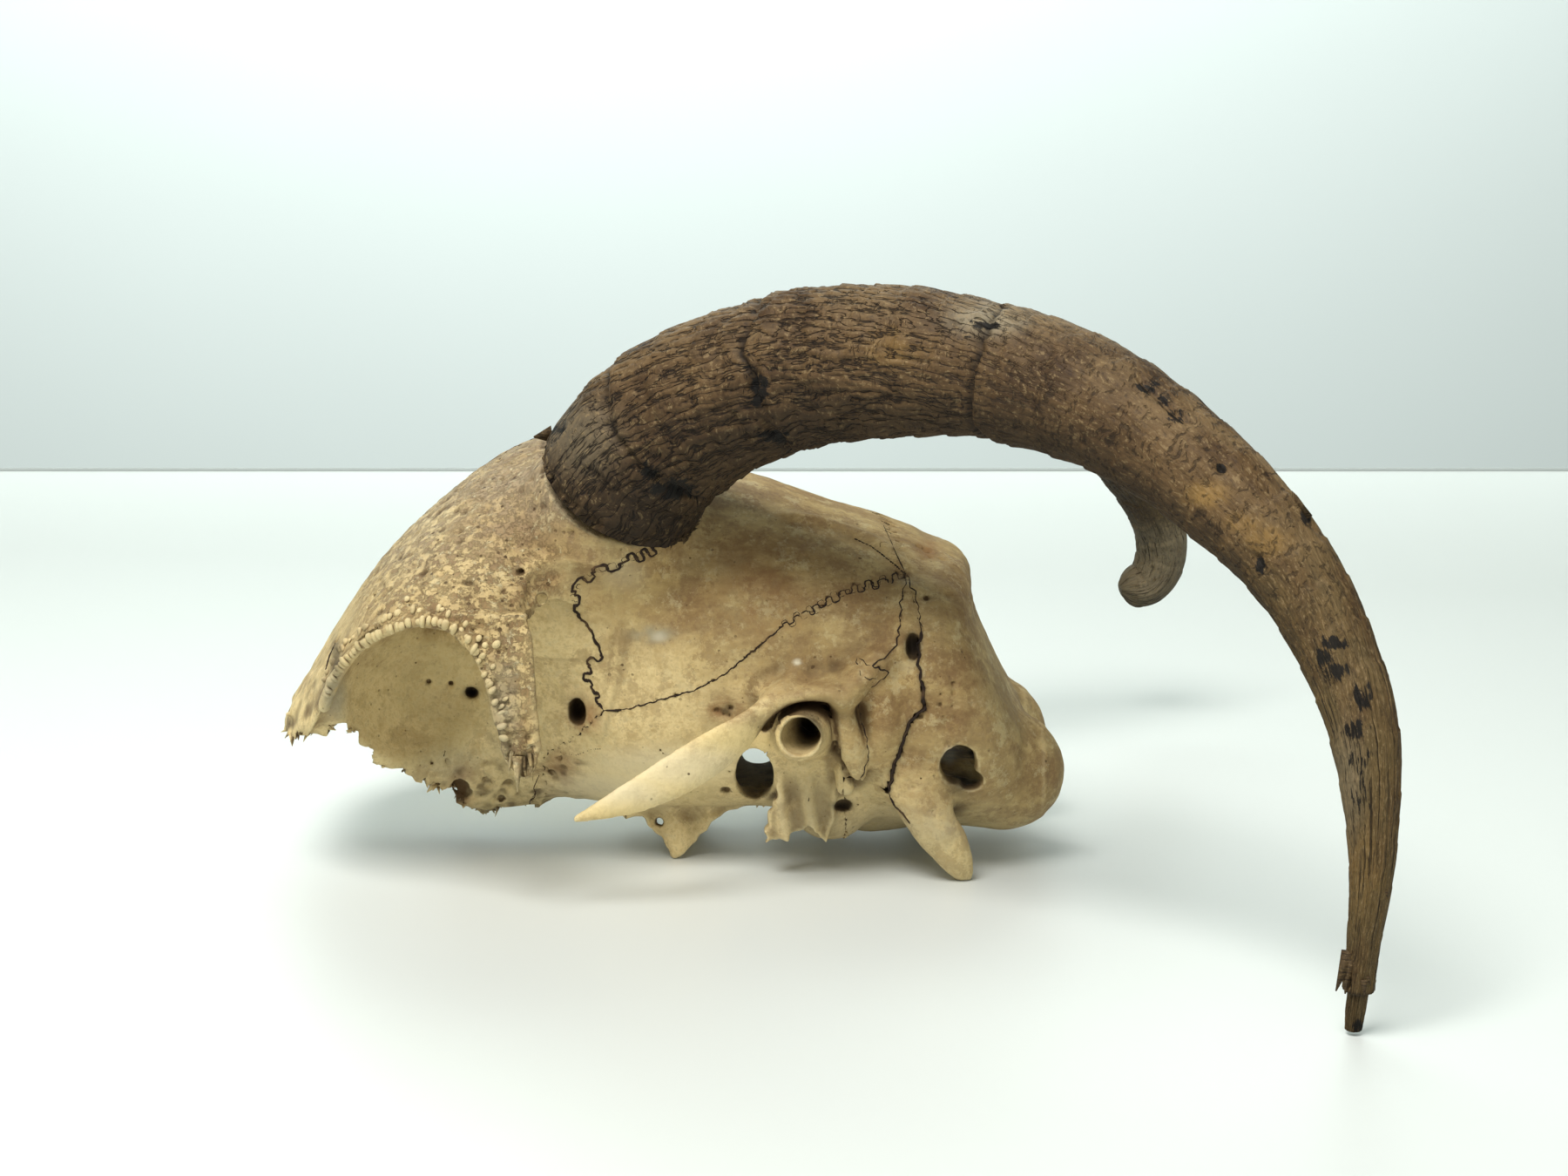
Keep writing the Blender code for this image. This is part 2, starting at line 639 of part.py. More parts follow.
def sphenoid_region():
    foot = ((-47.0, FLOOR_Z),) + FRONTAL_FOOT[::-1]
    inner = CORONAL[-1:] + SQUAMOSAL + ((MIDDLE_X, FLOOR_Z),) + foot
    back, front = PTERYGOID_ENDS
    notch = (BULLA_FRONT, (back, FLOOR_Z), (back, PTERYGOID_TOP), (front, PTERYGOID_TOP), (front, FLOOR_Z))
    middle = CORONAL[-1:] + SQUAMOSAL + ((MIDDLE_X, EAR_TOP),) + EAR_FRONT + notch + foot
    outer = CORONAL[-1:] + SQUAMOSAL[:1] + SQUAMA_FOOT + EAR_FRONT[-2:] + notch + foot
    return fuse([both_ways(inner, EAR_DEPTH - 0.5 * SEAM), both_ways(middle, SQUAMA_DEPTH - 0.5 * SEAM),
                 both_ways(outer, SPHENOID_REACH)])


def pterygoid_region(side):
    outline = tuple((x, PTERYGOID_TOP) for x in PTERYGOID_ENDS) + PTERYGOID
    return slab(outline, side, EAR_DEPTH, PTERYGOID_DEPTH)


def occipital_region():
    rear = NAPE_TOP + ((FAR, ROOF_Z), (FAR, FLOOR_Z))
    top = SQUAMOSAL[-1:] + SQUAMOSAL_REAR
    inner = top + rear + ((MIDDLE_X, FLOOR_Z),)
    middle = top + rear + (BULLA_BACK,) + EAR_REAR + ((MIDDLE_X, EAR_TOP),)
    outer = (SQUAMOSAL_REAR[-1:] + rear + (BULLA_BACK,) + EAR_REAR[:2] + MASTOID_FRONT[-1:]
             + MASTOID_BACK[::-1])
    return fuse([both_ways(inner, EAR_DEPTH - 0.5 * SEAM), both_ways(middle, SQUAMA_DEPTH - 0.5 * SEAM),
                 both_ways(outer, FAR)])


def cut_at_floor(item):
    """Takes off what would reach below the table, which leaves small flats to rest on."""
    below = prism("floor", [(-FAR, -FAR), (FAR, -FAR), (FAR, 0.0), (-FAR, 0.0)], -FAR, FAR)
    cut_away(item, [below])
    return item


def cut_out(whole, region, name, material):
    """The share of the whole cranium that lies in a region becomes a bone of its own."""
    bone = whole.copy()
    bone.data = whole.data.copy()
    file_under(CUTTERS, bone)
    apply_boolean(bone, "INTERSECT", region)
    discard([region])
    return finish(bone, name, material)


def build():
    bone = make_material("bone", COLOURS["bone"], 0.6)
    pale = make_material("pale_bone", COLOURS["pale_bone"], 0.6)
    keratin = make_material("horn_sheath", COLOURS["horn"], 0.7)
    parts = [make_braincase(), make_roof(), make_face_core(), make_nape_crest()]
    for side in SIDES.values():
        parts += [make_pedicle(side), make_condyle(side), make_jugular(side), make_ear(side),
                  make_ear_plate(side), make_blade(side), make_wing_plate(side),
                  ball("temple", TEMPLE, side), ball("swelling", BASE_SWELLING, side, 18, 12),
                  ball("bulla", BULLA, side, 20, 12)]
    whole = fuse(parts)
    hollows = [ball("nasal", NASAL), ball("foramen", FORAMEN)]
    for side in SIDES.values():
        hollows += [ball("socket", SOCKET, side), make_ear_bore(side),
                    make_horn(side, HORNS[side][:5], clearance=SEAM)]
    cut_away(whole, hollows)
    whole = cut_at_floor(fuse([whole, make_socket_rim(-1), make_socket_rim(1)]))
    cut_out(whole, parietal_region(), "parietal", bone)
    cut_out(whole, occipital_region(), "occipital", bone)
    cut_out(whole, sphenoid_region(), "sphenoid", pale)
    for name, side in SIDES.items():
        cut_out(whole, frontal_region(side), "frontal_" + name, bone)
        cut_out(whole, temporal_region(side), "temporal_" + name, bone)
        cut_out(whole, mastoid_region(side), "mastoid_" + name, bone)
        cut_out(whole, tympanic_region(side), "tympanic_" + name, pale)
        cut_out(whole, pterygoid_region(side), "pterygoid_" + name, pale)
    discard([whole])
    for name, side in SIDES.items():
        finish(cut_at_floor(make_horn(side, HORNS[side])), "horn_" + name, keratin)
    centre_on_origin([item for item in SKULL.objects if item.type == "MESH"])


build()
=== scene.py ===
# %% [markdown]
# # A goat's cranium with its two horns
#
# This lesson dresses a plain CAD skull so that it looks like the weathered one in a photograph.
# The CAD gives the place, the size and the main shapes. Everything seen on top of them is made
# here: thin broken edges, knitted sutures, pores, stains and the cracked skin of the horns.

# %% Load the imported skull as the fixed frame
import math
import time

import bpy
import numpy as np
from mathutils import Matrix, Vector


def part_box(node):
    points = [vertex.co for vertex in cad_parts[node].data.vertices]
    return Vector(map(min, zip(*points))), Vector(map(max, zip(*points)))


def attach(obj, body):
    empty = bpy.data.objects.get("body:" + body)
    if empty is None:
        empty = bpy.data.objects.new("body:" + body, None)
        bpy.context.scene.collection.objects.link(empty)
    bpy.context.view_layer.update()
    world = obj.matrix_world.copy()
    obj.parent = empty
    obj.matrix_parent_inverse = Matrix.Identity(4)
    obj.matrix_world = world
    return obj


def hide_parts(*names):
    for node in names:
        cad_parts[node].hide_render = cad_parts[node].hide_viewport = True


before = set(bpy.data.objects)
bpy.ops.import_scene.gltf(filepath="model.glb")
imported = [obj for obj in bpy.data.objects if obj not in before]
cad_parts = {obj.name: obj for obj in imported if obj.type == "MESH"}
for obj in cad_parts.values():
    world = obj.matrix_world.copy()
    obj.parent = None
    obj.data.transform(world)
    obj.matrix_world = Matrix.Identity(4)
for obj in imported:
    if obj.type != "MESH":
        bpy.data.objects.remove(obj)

STARTED = time.time()
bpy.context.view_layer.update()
MM = 0.001


def note(*words):
    """Prints what was done, and when."""
    print(*words, "after", round(time.time() - STARTED, 1), "s")


def put_in_scene(name, data):
    """An object that shows a mesh, a camera or a light."""
    item = bpy.data.objects.new(name, data)
    bpy.context.scene.collection.objects.link(item)
    return item


# %% [markdown]
# ## One set of coordinates
#
# A skull is easiest to draw about its own middle plane, so the lesson works in millimetres with
# that plane at y = 0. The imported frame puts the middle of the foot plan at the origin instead.
# The nape bone tells how far the two are apart: it is cut off square at a known x, and it is the
# same on both sides.

# %% Find the skull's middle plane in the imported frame
SIDES = {"left": -1, "right": 1}
SEAM = 0.3                              # the gap that the CAD keeps between two bones
MIDDLE_X = 3.0                          # where the nape bone starts
nape_low, nape_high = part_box("occipital")
SHIFT = np.array((nape_low.x / MM - MIDDLE_X - 0.5 * SEAM, (nape_low.y + nape_high.y) / 2.0 / MM, 0.0))
print("The middle plane lies at", SHIFT.round(2), "mm")

# %% [markdown]
# ## The camera
#
# Three points of the skull touch the table, and the paired parts of a skull are equally far from
# its middle. Together they fix where the photograph was taken from: 45 cm away, a little above
# the horns and looking 9 degrees down. The camera comes early, because small marks such as holes
# and stains are placed by where they show in the photograph.

# %% Place the camera, and translate between photograph and skull
PHOTO_WIDE, PHOTO_HIGH = 1800, 1350
FOCAL = 2800.0                          # in pixels of the photograph
EYE = np.array((0.0, -452.7, 120.3))
TILT = math.radians(9.03)
AHEAD = np.array((0.0, math.cos(TILT), -math.sin(TILT)))
RIGHTWARDS = np.array((1.0, 0.0, 0.0))
UPWARDS = np.array((0.0, math.sin(TILT), math.cos(TILT)))

camera = put_in_scene("camera", bpy.data.cameras.new("camera"))
SENSOR = 36.0
camera.data.sensor_width = SENSOR
camera.data.lens = SENSOR * FOCAL / PHOTO_WIDE
camera.location = (EYE + SHIFT) * MM
camera.rotation_euler = (math.radians(90.0) - TILT, 0.0, 0.0)
bpy.context.scene.camera = camera


def in_photo(points):
    """Where points of the skull show in the photograph: pixels across and down, and the depth."""
    seen = points - EYE
    depth = seen @ AHEAD
    across = PHOTO_WIDE / 2 + FOCAL * (seen @ RIGHTWARDS) / depth
    down = PHOTO_HIGH / 2 - FOCAL * (seen @ UPWARDS) / depth
    return across, down, depth


print("The lens is", round(camera.data.lens, 1), "mm long")

# %% [markdown]
# ## The skull as a field
#
# Bone has no edges of its own: a ridge runs softly into a wall, and a hole has a rounded lip. One
# could sculpt that by hand, or round off the joints of many meshes. Here the skull is a field
# instead: a grid of numbers that say how far each point is from the bone's surface, below zero
# inside the bone. Two forms are joined by taking the smaller number, and a hollow is cut by
# taking the larger, with a little rounding where they meet.

# %% Lay out the grid
STEP = 0.52
LOWEST, HIGHEST = (-98.0, -62.0, -3.0), (56.0, 62.0, 92.0)
AXES = [np.arange(low, high, STEP, dtype=np.float32) for low, high in zip(LOWEST, HIGHEST)]
EMPTY = 30.0
FIELD = np.full([len(axis) for axis in AXES], EMPTY, np.float32)


def laid_along(k, values):
    """A row of values laid along one axis of the grid."""
    shape = [1, 1, 1]
    shape[k] = -1
    return np.reshape(values, shape)


def window(low, high):
    """The grid inside a box: its slices, and its x, y and z values ready to combine."""
    cut = tuple(slice(*np.searchsorted(axis, (low[k], high[k]))) for k, axis in enumerate(AXES))
    return (cut, *(laid_along(k, AXES[k][cut[k]]) for k in range(3)))


def side_window(side, low, high):
    """The same, with y given as distances out from the middle plane on one side."""
    near, far = sorted((side * low[1], side * high[1]))
    return window((low[0], near, low[2]), (high[0], far, high[2]))


print("The grid has", FIELD.size, "points", STEP, "mm apart")

# %% Join forms and cut hollows
def meet(a, b, width):
    """The smaller of two fields, rounded over a width where they are nearly the same."""
    share = np.clip(0.5 + 0.5 * (b - a) / width, 0.0, 1.0)
    return b + (a - b) * share - width * share * (1.0 - share)


def add(form, width=1.0):
    cut, values = form
    FIELD[cut] = meet(FIELD[cut], values, width)


def carve(form, width=0.5):
    cut, values = form
    FIELD[cut] = -meet(-FIELD[cut], values, width)


def unit(ways):
    """Directions of length one."""
    return ways / np.maximum(np.linalg.norm(ways, axis=-1, keepdims=True), 1e-12)


def outside(values, low, high):
    """Below zero between two bounds, and the distance from them outside."""
    return np.maximum(low - values, values - high)


def true_distance(values):
    """The same surface, with numbers that grow by one for each millimetre."""
    slope = np.sqrt(sum(part ** 2 for part in np.gradient(values, STEP)))
    return values / np.maximum(slope, 0.02)


# %% Curves through stations
def smooth_table(table, at):
    """The other columns of a table at given values of its first, on a smooth curve."""
    rows = np.array(table, np.float64)
    knots, last = rows[:, 0], len(rows) - 1
    place = np.arange(len(rows))
    ahead, behind = rows[np.minimum(place + 1, last)], rows[np.maximum(place - 1, 0)]
    slopes = (ahead - behind) / (ahead[:, :1] - behind[:, :1])
    k = np.clip(np.searchsorted(knots, at, side="right") - 1, 0, last - 1)
    span = knots[k + 1] - knots[k]
    t = np.clip((at - knots[k]) / span, 0.0, 1.0)
    columns = []
    for c in range(1, rows.shape[1]):
        value = ((2 * t**3 - 3 * t**2 + 1) * rows[k, c] + (t**3 - 2 * t**2 + t) * span * slopes[k, c]
                 + (3 * t**2 - 2 * t**3) * rows[k + 1, c] + (t**3 - t**2) * span * slopes[k + 1, c])
        columns.append(value.astype(np.float32))
    return columns


def run_of(points):
    """How far along a line each of its points lies."""
    return np.concatenate(([0.0], np.cumsum(np.linalg.norm(np.diff(points[:, :3], axis=0), axis=1))))


def spaced(line, spacing):
    """Points with equal steps along a line. Further columns, such as a radius, go with them."""
    line = np.asarray(line)
    length = run_of(line)
    wanted = np.linspace(0.0, length[-1], max(int(length[-1] / spacing), 2) + 1)
    return np.stack([np.interp(wanted, length, column) for column in line.T], 1)


def through(stations, spacing):
    """Points close together on a smooth curve through stations, which may carry a radius."""
    table = [(k, *station) for k, station in enumerate(stations)]
    fine = smooth_table(table, np.linspace(0.0, len(stations) - 1.0, 60 * len(stations)))
    return spaced(np.stack(fine, 1), spacing)


# %% Forms to build a skull from
def tube(table, powers, share=0.6):
    """A form with rounded sections along x: half width, top, widest height and bottom.

    Where the widest height isn't given, it is at a share of the way up."""
    first, last = table[0][0], table[-1][0]
    cut, x, y, z = window((first - 4.0, LOWEST[1], LOWEST[2]), (last + 4.0, HIGHEST[1], HIGHEST[2]))
    half, top, *widest, bottom = smooth_table(table, x)
    widest = widest[0] if widest else bottom + (top - bottom) * share
    upper = z > widest
    power = np.where(upper, powers[0], powers[1]).astype(np.float32)
    height = np.where(upper, top - widest, widest - bottom).astype(np.float32)
    reach = (np.abs(y) / half) ** power + (np.abs(z - widest) / height) ** power
    values = true_distance(np.maximum(reach, 1e-6) ** (1.0 / power) - 1.0)
    return cut, np.maximum(values, outside(x, first, last))


def egg(centre, radii, turned=None, margin=6.0):
    """An ellipsoid, whose own axes may be turned: turned holds them as three rows."""
    centre, radii = np.array(centre, np.float32), np.array(radii, np.float32)
    reach = radii if turned is None else np.full(3, radii.max())
    cut, x, y, z = window(centre - reach - margin, centre + reach + margin)
    place = (x - centre[0], y - centre[1], z - centre[2])
    if turned is not None:
        place = [sum(float(row[k]) * place[k] for k in range(3)) for row in turned]
    near = np.sqrt(sum((p / r) ** 2 for p, r in zip(place, radii)))
    slope = np.sqrt(sum((p / r**2) ** 2 for p, r in zip(place, radii)))
    return cut, near * (near - 1.0) / np.maximum(slope, 1e-4)


def rod(stations, side=1, flat=1.0, spacing=0.5, margin=4.0):
    """A rounded rod along stations of x, across, z and radius; flat thins it from side to side."""
    path = through(stations, spacing) * np.array((1.0, side, 1.0, 1.0))
    radius = path[:, 3].max()
    cut, *_ = window(path[:, :3].min(0) - radius - margin, path[:, :3].max(0) + radius + margin)
    values = np.full_like(FIELD, EMPTY)
    for *place, size in path:
        low, high = [[p + way * (size + margin) for p in place] for way in (-1, 1)]
        near, x, y, z = window(low, high)
        reach = (x - place[0]) ** 2 + ((y - place[1]) / flat) ** 2 + (z - place[2]) ** 2
        values[near] = np.minimum(values[near], np.sqrt(reach) - size)
    return cut, values[cut]


# %% Side-view outlines
def line_distance(line, x, z):
    """How far each point of a side view is from an open line."""
    nearest = 1e9
    for (ax, az), (bx, bz) in zip(line, line[1:]):
        ex, ez = bx - ax, bz - az
        share = np.clip(((x - ax) * ex + (z - az) * ez) / max(ex * ex + ez * ez, 1e-9), 0.0, 1.0)
        nearest = np.minimum(nearest, (x - ax - share * ex) ** 2 + (z - az - share * ez) ** 2)
    return np.sqrt(nearest).astype(np.float32)


def outline_distance(outline, x, z):
    """How far each point of a side view is from a closed outline, below zero inside."""
    x, z = np.asarray(x).reshape(-1, 1), np.asarray(z).reshape(1, -1)
    inside = np.zeros((x.size, z.size), bool)
    for (ax, az), (bx, bz) in zip(outline, outline[1:] + outline[:1]):
        if az != bz:
            inside ^= ((az > z) != (bz > z)) & (x < (bx - ax) * (z - az) / (bz - az) + ax)
    return np.where(inside, -1.0, 1.0).astype(np.float32) * line_distance(outline + outline[:1], x, z)


def place_on(points, length, at):
    """A place on a side-view line, by its distance along it, and the direction across it there."""
    k = min(np.searchsorted(length, at, side="right") - 1, len(points) - 2)
    along = points[k + 1] - points[k]
    place = points[k] + along * (at - length[k]) / max(length[k + 1] - length[k], 1e-9)
    return place, unit(np.array((-along[1], along[0])))


def jagged(points, swing, pitch, seed):
    """A broken edge: the same line with sharp teeth of random height."""
    rng = np.random.default_rng(seed)
    points = np.array(points, float)
    length = run_of(points)
    mark, result, turn = 0.0, [tuple(points[0])], 1
    while mark < length[-1] - pitch:
        mark += pitch * rng.uniform(0.5, 1.5)
        place, across = place_on(points, length, mark)
        result.append(tuple(place + across * turn * swing * rng.uniform(0.2, 1.0)))
        turn = -turn
    return result + [tuple(points[-1])]


LOOP = ((-0.36, 0.0), (-0.42, 0.55), (-0.25, 0.95), (0.25, 0.95), (0.42, 0.55), (0.36, 0.0))


def knitted(points, swing, pitch, seed):
    """A suture: rounded loops to both sides of a line, wider at their heads than at their feet."""
    rng = np.random.default_rng(seed)
    points = np.array(points, float)
    length = run_of(points)
    result, mark, turn = [tuple(points[0])], 0.5 * pitch, 1
    while mark < length[-1] - 0.6 * pitch:
        wide, high = pitch * rng.uniform(0.75, 1.25), swing * rng.uniform(0.35, 1.0)
        for share, rise in LOOP:
            here, across = place_on(points, length, np.clip(mark + share * wide, 0.0, length[-1]))
            result.append(tuple(here + across * turn * high * rise))
        mark += 0.86 * wide
        turn = -turn
    return result + [tuple(points[-1])]


# %% [markdown]
# ## Random lumps that can be repeated
#
# Weathered bone is never quite smooth. The lumps come from random numbers on a coarse lattice,
# smoothly filled in between. A fixed seed for each use gives the same skull on every run.

# %% Lumps on points and on the grid
def eased(t):
    return t * t * (3.0 - 2.0 * t)


def blended(grid, whole, t):
    """A grid's values between its points: whole counts steps to the corner below, t is the rest."""
    total = 0.0
    for corner in np.ndindex(2, 2, 2):
        weight = 1.0
        for k, d in enumerate(corner):
            weight = weight * (t[..., k] if d else 1.0 - t[..., k])
        total = total + weight * grid[tuple(whole[..., k] + corner[k] for k in range(3))]
    return total


def lumps(points, size, seed):
    """Smooth random values between -1 and 1 at points, in lumps of about a size in mm."""
    lattice = np.random.default_rng(seed).uniform(-1.0, 1.0, (64, 64, 64)).astype(np.float32)
    place = points / size + 1000.0
    whole = np.floor(place).astype(int)
    t = eased((place - whole).astype(np.float32))
    return blended(np.pad(lattice, (0, 1), "wrap"), whole % 64, t)


def lumps_in(part, size, seed):
    """The same kind of lumps over a window of the grid, given as its x, y and z values."""
    rng = np.random.default_rng(seed)
    places = [axis.ravel() / size + 500.0 for axis in part]
    starts = [int(place[0]) for place in places]
    counts = [int(place[-1]) - start + 2 for place, start in zip(places, starts)]
    values = rng.uniform(-1.0, 1.0, counts).astype(np.float32)
    for k, (place, start) in enumerate(zip(places, starts)):
        whole = place.astype(int) - start
        t = laid_along(k, eased(place - whole - start).astype(np.float32))
        values = np.take(values, whole, axis=k) * (1.0 - t) + np.take(values, whole + 1, axis=k) * t
    return values


note("Helpers are ready")

# %% [markdown]
# ## The braincase, the forehead and the face
#
# A goat's braincase is an egg with a keel below, the forehead is an arched roof that reaches out
# over the eye sockets, and a narrower core of face bone runs between the sockets. Each is given
# by a few sections along x, the same as in the CAD, so the dressed skull keeps its outline.

# %% The sections of the three main forms
BRAINCASE = ((-62.0, 15.0, 62.0, 40.0, 9.0), (-52.0, 17.5, 70.0, 42.0, 8.0),
             (-44.0, 22.5, 75.0, 43.0, 9.0), (-36.0, 26.5, 77.0, 42.0, 9.0),
             (-26.0, 29.6, 75.5, 41.0, 7.5), (-15.0, 31.5, 72.5, 40.0, 8.0),
             (-4.0, 32.5, 69.2, 39.0, 8.5), (8.0, 33.0, 65.0, 38.5, 7.0), (18.0, 33.5, 62.0, 38.0, 5.5),
             (26.0, 34.5, 58.6, 37.0, 5.0), (32.0, 34.0, 53.0, 34.0, 5.0),
             (38.0, 31.0, 40.0, 27.0, 6.5), (43.0, 25.0, 30.0, 22.0, 9.0),
             (46.0, 16.0, 25.0, 18.0, 12.0), (48.0, 6.0, 21.0, 17.0, 14.0))
FOREHEAD = ((-93.0, 22.0), (-90.5, 27.0), (-87.0, 35.0), (-80.6, 46.0), (-73.3, 56.2), (-64.0, 65.2),
            (-54.5, 72.4), (-46.0, 76.4), (-36.0, 78.2), (-26.0, 76.5))
SHIELD = ((-92.5, 13.0, 22.0, 4.0), (-89.5, 21.0, 24.5, 6.0), (-85.0, 29.0, 28.5, 9.0),
          (-79.5, 37.5, 36.0, 12.0), (-75.0, 41.5, 42.5, 15.0), (-69.0, 45.0, 48.0, 17.0),
          (-62.0, 47.5, 50.5, 18.0), (-55.0, 49.5, 49.0, 18.0), (-50.0, 50.0, 46.5, 15.0),
          (-46.0, 45.0, 49.0, 9.0), (-41.0, 37.0, 53.5, 9.0), (-35.0, 31.0, 57.0, 10.0),
          (-27.0, 24.0, 62.0, 10.0))
FACE_CORE = ((-91.0, 15.0, 30.0, 20.0), (-86.0, 25.0, 36.0, 21.0), (-80.0, 31.0, 44.0, 22.0),
             (-72.0, 27.0, 52.0, 14.0), (-64.0, 20.0, 56.0, 8.0), (-56.0, 16.5, 60.0, 6.0),
             (-46.0, 15.5, 60.0, 7.5))
ROOF_POWER, ROOF_EDGE = 2.3, 2.2


def roof():
    """The arched forehead: a sheet between two heights, thinner towards its edges."""
    cut, x, y, z = window((SHIELD[0][0] - 4.0, -58.0, 0.0), (SHIELD[-1][0] + 4.0, 58.0, 84.0))
    half, edge, thickness = smooth_table(SHIELD, x)
    top, = smooth_table(FOREHEAD, x)
    drop = np.minimum(np.abs(y) / half, 1.3) ** ROOF_POWER
    upper = top + (edge - top) * drop
    lower = upper - thickness - (ROOF_EDGE - thickness) * drop
    slope = np.sqrt(1.0 + (ROOF_POWER * (top - edge) / half * drop) ** 2)
    values = np.maximum(np.maximum(z - upper, lower - z) / slope, np.abs(y) - half)
    return cut, np.maximum(values, outside(x, SHIELD[0][0], SHIELD[-1][0]))


braincase = tube(BRAINCASE, (2.1, 2.6))
face = tube(FACE_CORE, (2.6, 3.2))
add(braincase)
add(face, 3.0)
add(roof(), 4.0)
note("The main forms stand")

# %% [markdown]
# ## Horn stumps and the parts around the nape
#
# The horn cores leave the forehead as two short stumps, and each sheath starts on a plane across
# its stump. Behind and below the braincase come the knuckles that the neck turned on, the two
# long processes beside them, the ear tubes, and the thin plates under the base.

# %% The horns' centrelines and the plane that a sheath starts on
LEFT_HORN = ((-29.0, 27.0, 70.5, 31.0), (-23.5, 31.5, 78.6, 29.6), (-12.5, 37.5, 86.6, 27.4),
             (3.5, 45.5, 92.6, 25.6), (18.4, 53.5, 94.3, 24.3), (32.0, 62.0, 93.6, 21.6),
             (44.3, 70.5, 90.6, 20.2), (55.6, 79.0, 85.0, 18.0), (68.3, 89.5, 74.5, 15.4),
             (75.9, 96.0, 65.2, 13.4), (81.2, 102.0, 54.5, 11.6), (84.2, 107.5, 43.0, 10.1),
             (84.8, 111.5, 28.0, 7.0), (83.8, 112.5, 14.0, 4.8), (83.1, 111.0, 0.8, 2.4))
RIGHT_HORN = ((-29.0, 27.0, 70.5, 31.0), (-23.5, 31.5, 77.6, 29.6), (-12.5, 37.5, 83.6, 27.4),
              (3.5, 45.5, 87.6, 25.6), (18.4, 53.5, 89.4, 24.3), (32.0, 62.0, 89.0, 21.8),
              (44.5, 70.5, 86.0, 20.2), (56.5, 79.0, 80.5, 18.0), (70.5, 89.0, 69.5, 15.6),
              (79.0, 95.5, 60.0, 13.8), (85.0, 101.0, 49.5, 12.4), (87.0, 104.5, 40.0, 11.6),
              (84.2, 105.6, 33.2, 10.6), (77.8, 105.0, 31.4, 8.6))
HORNS = {-1: LEFT_HORN, 1: RIGHT_HORN}
BASE_AXIS, CURL_PLANE = unit(((0.40, 0.57, 0.72), (0.57, 0.81, -0.11)))
HORN_SQUASH = 0.9
BASE_CENTRE = np.array(LEFT_HORN[0][:3])


def base_frame(side):
    """The centre, the axis and the two cross directions of a horn's base."""
    flip = np.array((1.0, side, 1.0))
    axis, plane = BASE_AXIS * flip, CURL_PLANE * flip
    wide = unit(plane - axis * (plane @ axis))
    return BASE_CENTRE * flip, axis, wide, np.cross(axis, wide)


def on_axes(part, side):
    """How far each grid point lies along a horn's base axis, and across it both ways."""
    centre, axis, wide, high = base_frame(side)
    place = [values - centre[k] for k, values in enumerate(part)]
    return [sum(float(line[k]) * place[k] for k in range(3)) for line in (axis, wide, high)]


def horn_stump(side):
    cut, *part = side_window(side, (-60.0, -4.0, 40.0), (12.0, 60.0, 90.0))
    along, across, upright = on_axes(part, side)
    spread = np.interp(along, (-22.0, -12.0, -5.0, -0.3), (1.12, 1.06, 0.98, 0.88)).astype(np.float32)
    reach = np.sqrt((across / 14.6) ** 2 + (upright / 15.6) ** 2)
    return cut, np.maximum((reach - spread) * 15.0, outside(along, -24.0, -SEAM))


def sheath_space(side):
    """The space that the lower end of a sheath takes, a little larger than the sheath."""
    cut, *part = side_window(side, (-60.0, 0.0, 50.0), (20.0, 75.0, 92.0))
    along, across, upright = on_axes(part, side)
    centre, axis, wide, high = base_frame(side)
    stations = [np.array(s[:3]) * (1.0, side, 1.0) - centre for s in HORNS[side][:4]]
    table = [(s @ axis, s @ wide, s @ high, h[3]) for s, h in zip(stations, HORNS[side])]
    middle_across, middle_upright, thickness = smooth_table(table, along)
    radius = 0.5 * thickness + 0.25
    reach = np.sqrt(((across - middle_across) / HORN_SQUASH) ** 2 + (upright - middle_upright) ** 2)
    return cut, np.maximum(reach - radius, outside(along, -0.25, 24.0))


# %% Forms on both sides of the skull
CONDYLE, CONDYLE_RADII, CONDYLE_LEAN = (40.0, 15.5, 17.0), (11.4, 9.2, 11.4), (0.35, 0.25, 0.9)
NAPE_CREST = ((29.9, 0.0, 52.0, 4.2), (28.8, 16.0, 50.6, 3.9), (26.6, 27.5, 45.7, 3.2),
              (24.0, 31.5, 38.0, 1.6))
JUGULAR = ((21.5, 27.0, 22.0, 6.5), (23.4, 29.5, 16.5, 4.8), (26.5, 30.5, 10.8, 4.3),
           (28.9, 30.4, 7.4, 3.8), (30.6, 30.0, 4.4, 3.0), (32.0, 29.4, 1.8, 2.0),
           (32.3, 29.0, 0.4, 1.3))
EAR_AXIS = (2.6, 28.8)
EAR_TUBE = ((5.4, 24.0, 27.2, 6.4), (4.8, 30.0, 28.0, 5.6), (3.6, 36.0, 28.6, 4.6), (2.6, 40.2, 28.8, 3.7))
EAR_LIP = 41.0
TONGUE = ((9.6, 33.8, 37.0, 1.4), (10.2, 34.4, 33.0, 2.0), (10.8, 34.4, 29.0, 2.3),
          (11.9, 34.0, 25.0, 2.2), (12.9, 33.2, 21.6, 1.7), (13.5, 32.4, 19.8, 0.9))
EAR_PEG = ((10.2, 29.6, 24.0, 1.5), (10.6, 30.4, 20.4, 1.7), (10.9, 30.6, 17.6, 1.7))
SOCKET_RIM = ((-80.0, 36.4, 33.4, 1.3), (-77.6, 38.8, 38.6, 1.2), (-73.6, 41.8, 43.8, 1.0),
              (-68.6, 44.8, 47.4, 0.9), (-62.0, 47.2, 49.9, 0.9), (-56.6, 48.8, 49.6, 0.9),
              (-52.4, 50.0, 46.4, 0.9), (-50.0, 51.0, 42.2, 1.0), (-48.2, 51.8, 36.6, 1.1),
              (-47.2, 52.0, 31.6, 1.1), (-46.2, 51.8, 27.4, 0.9))
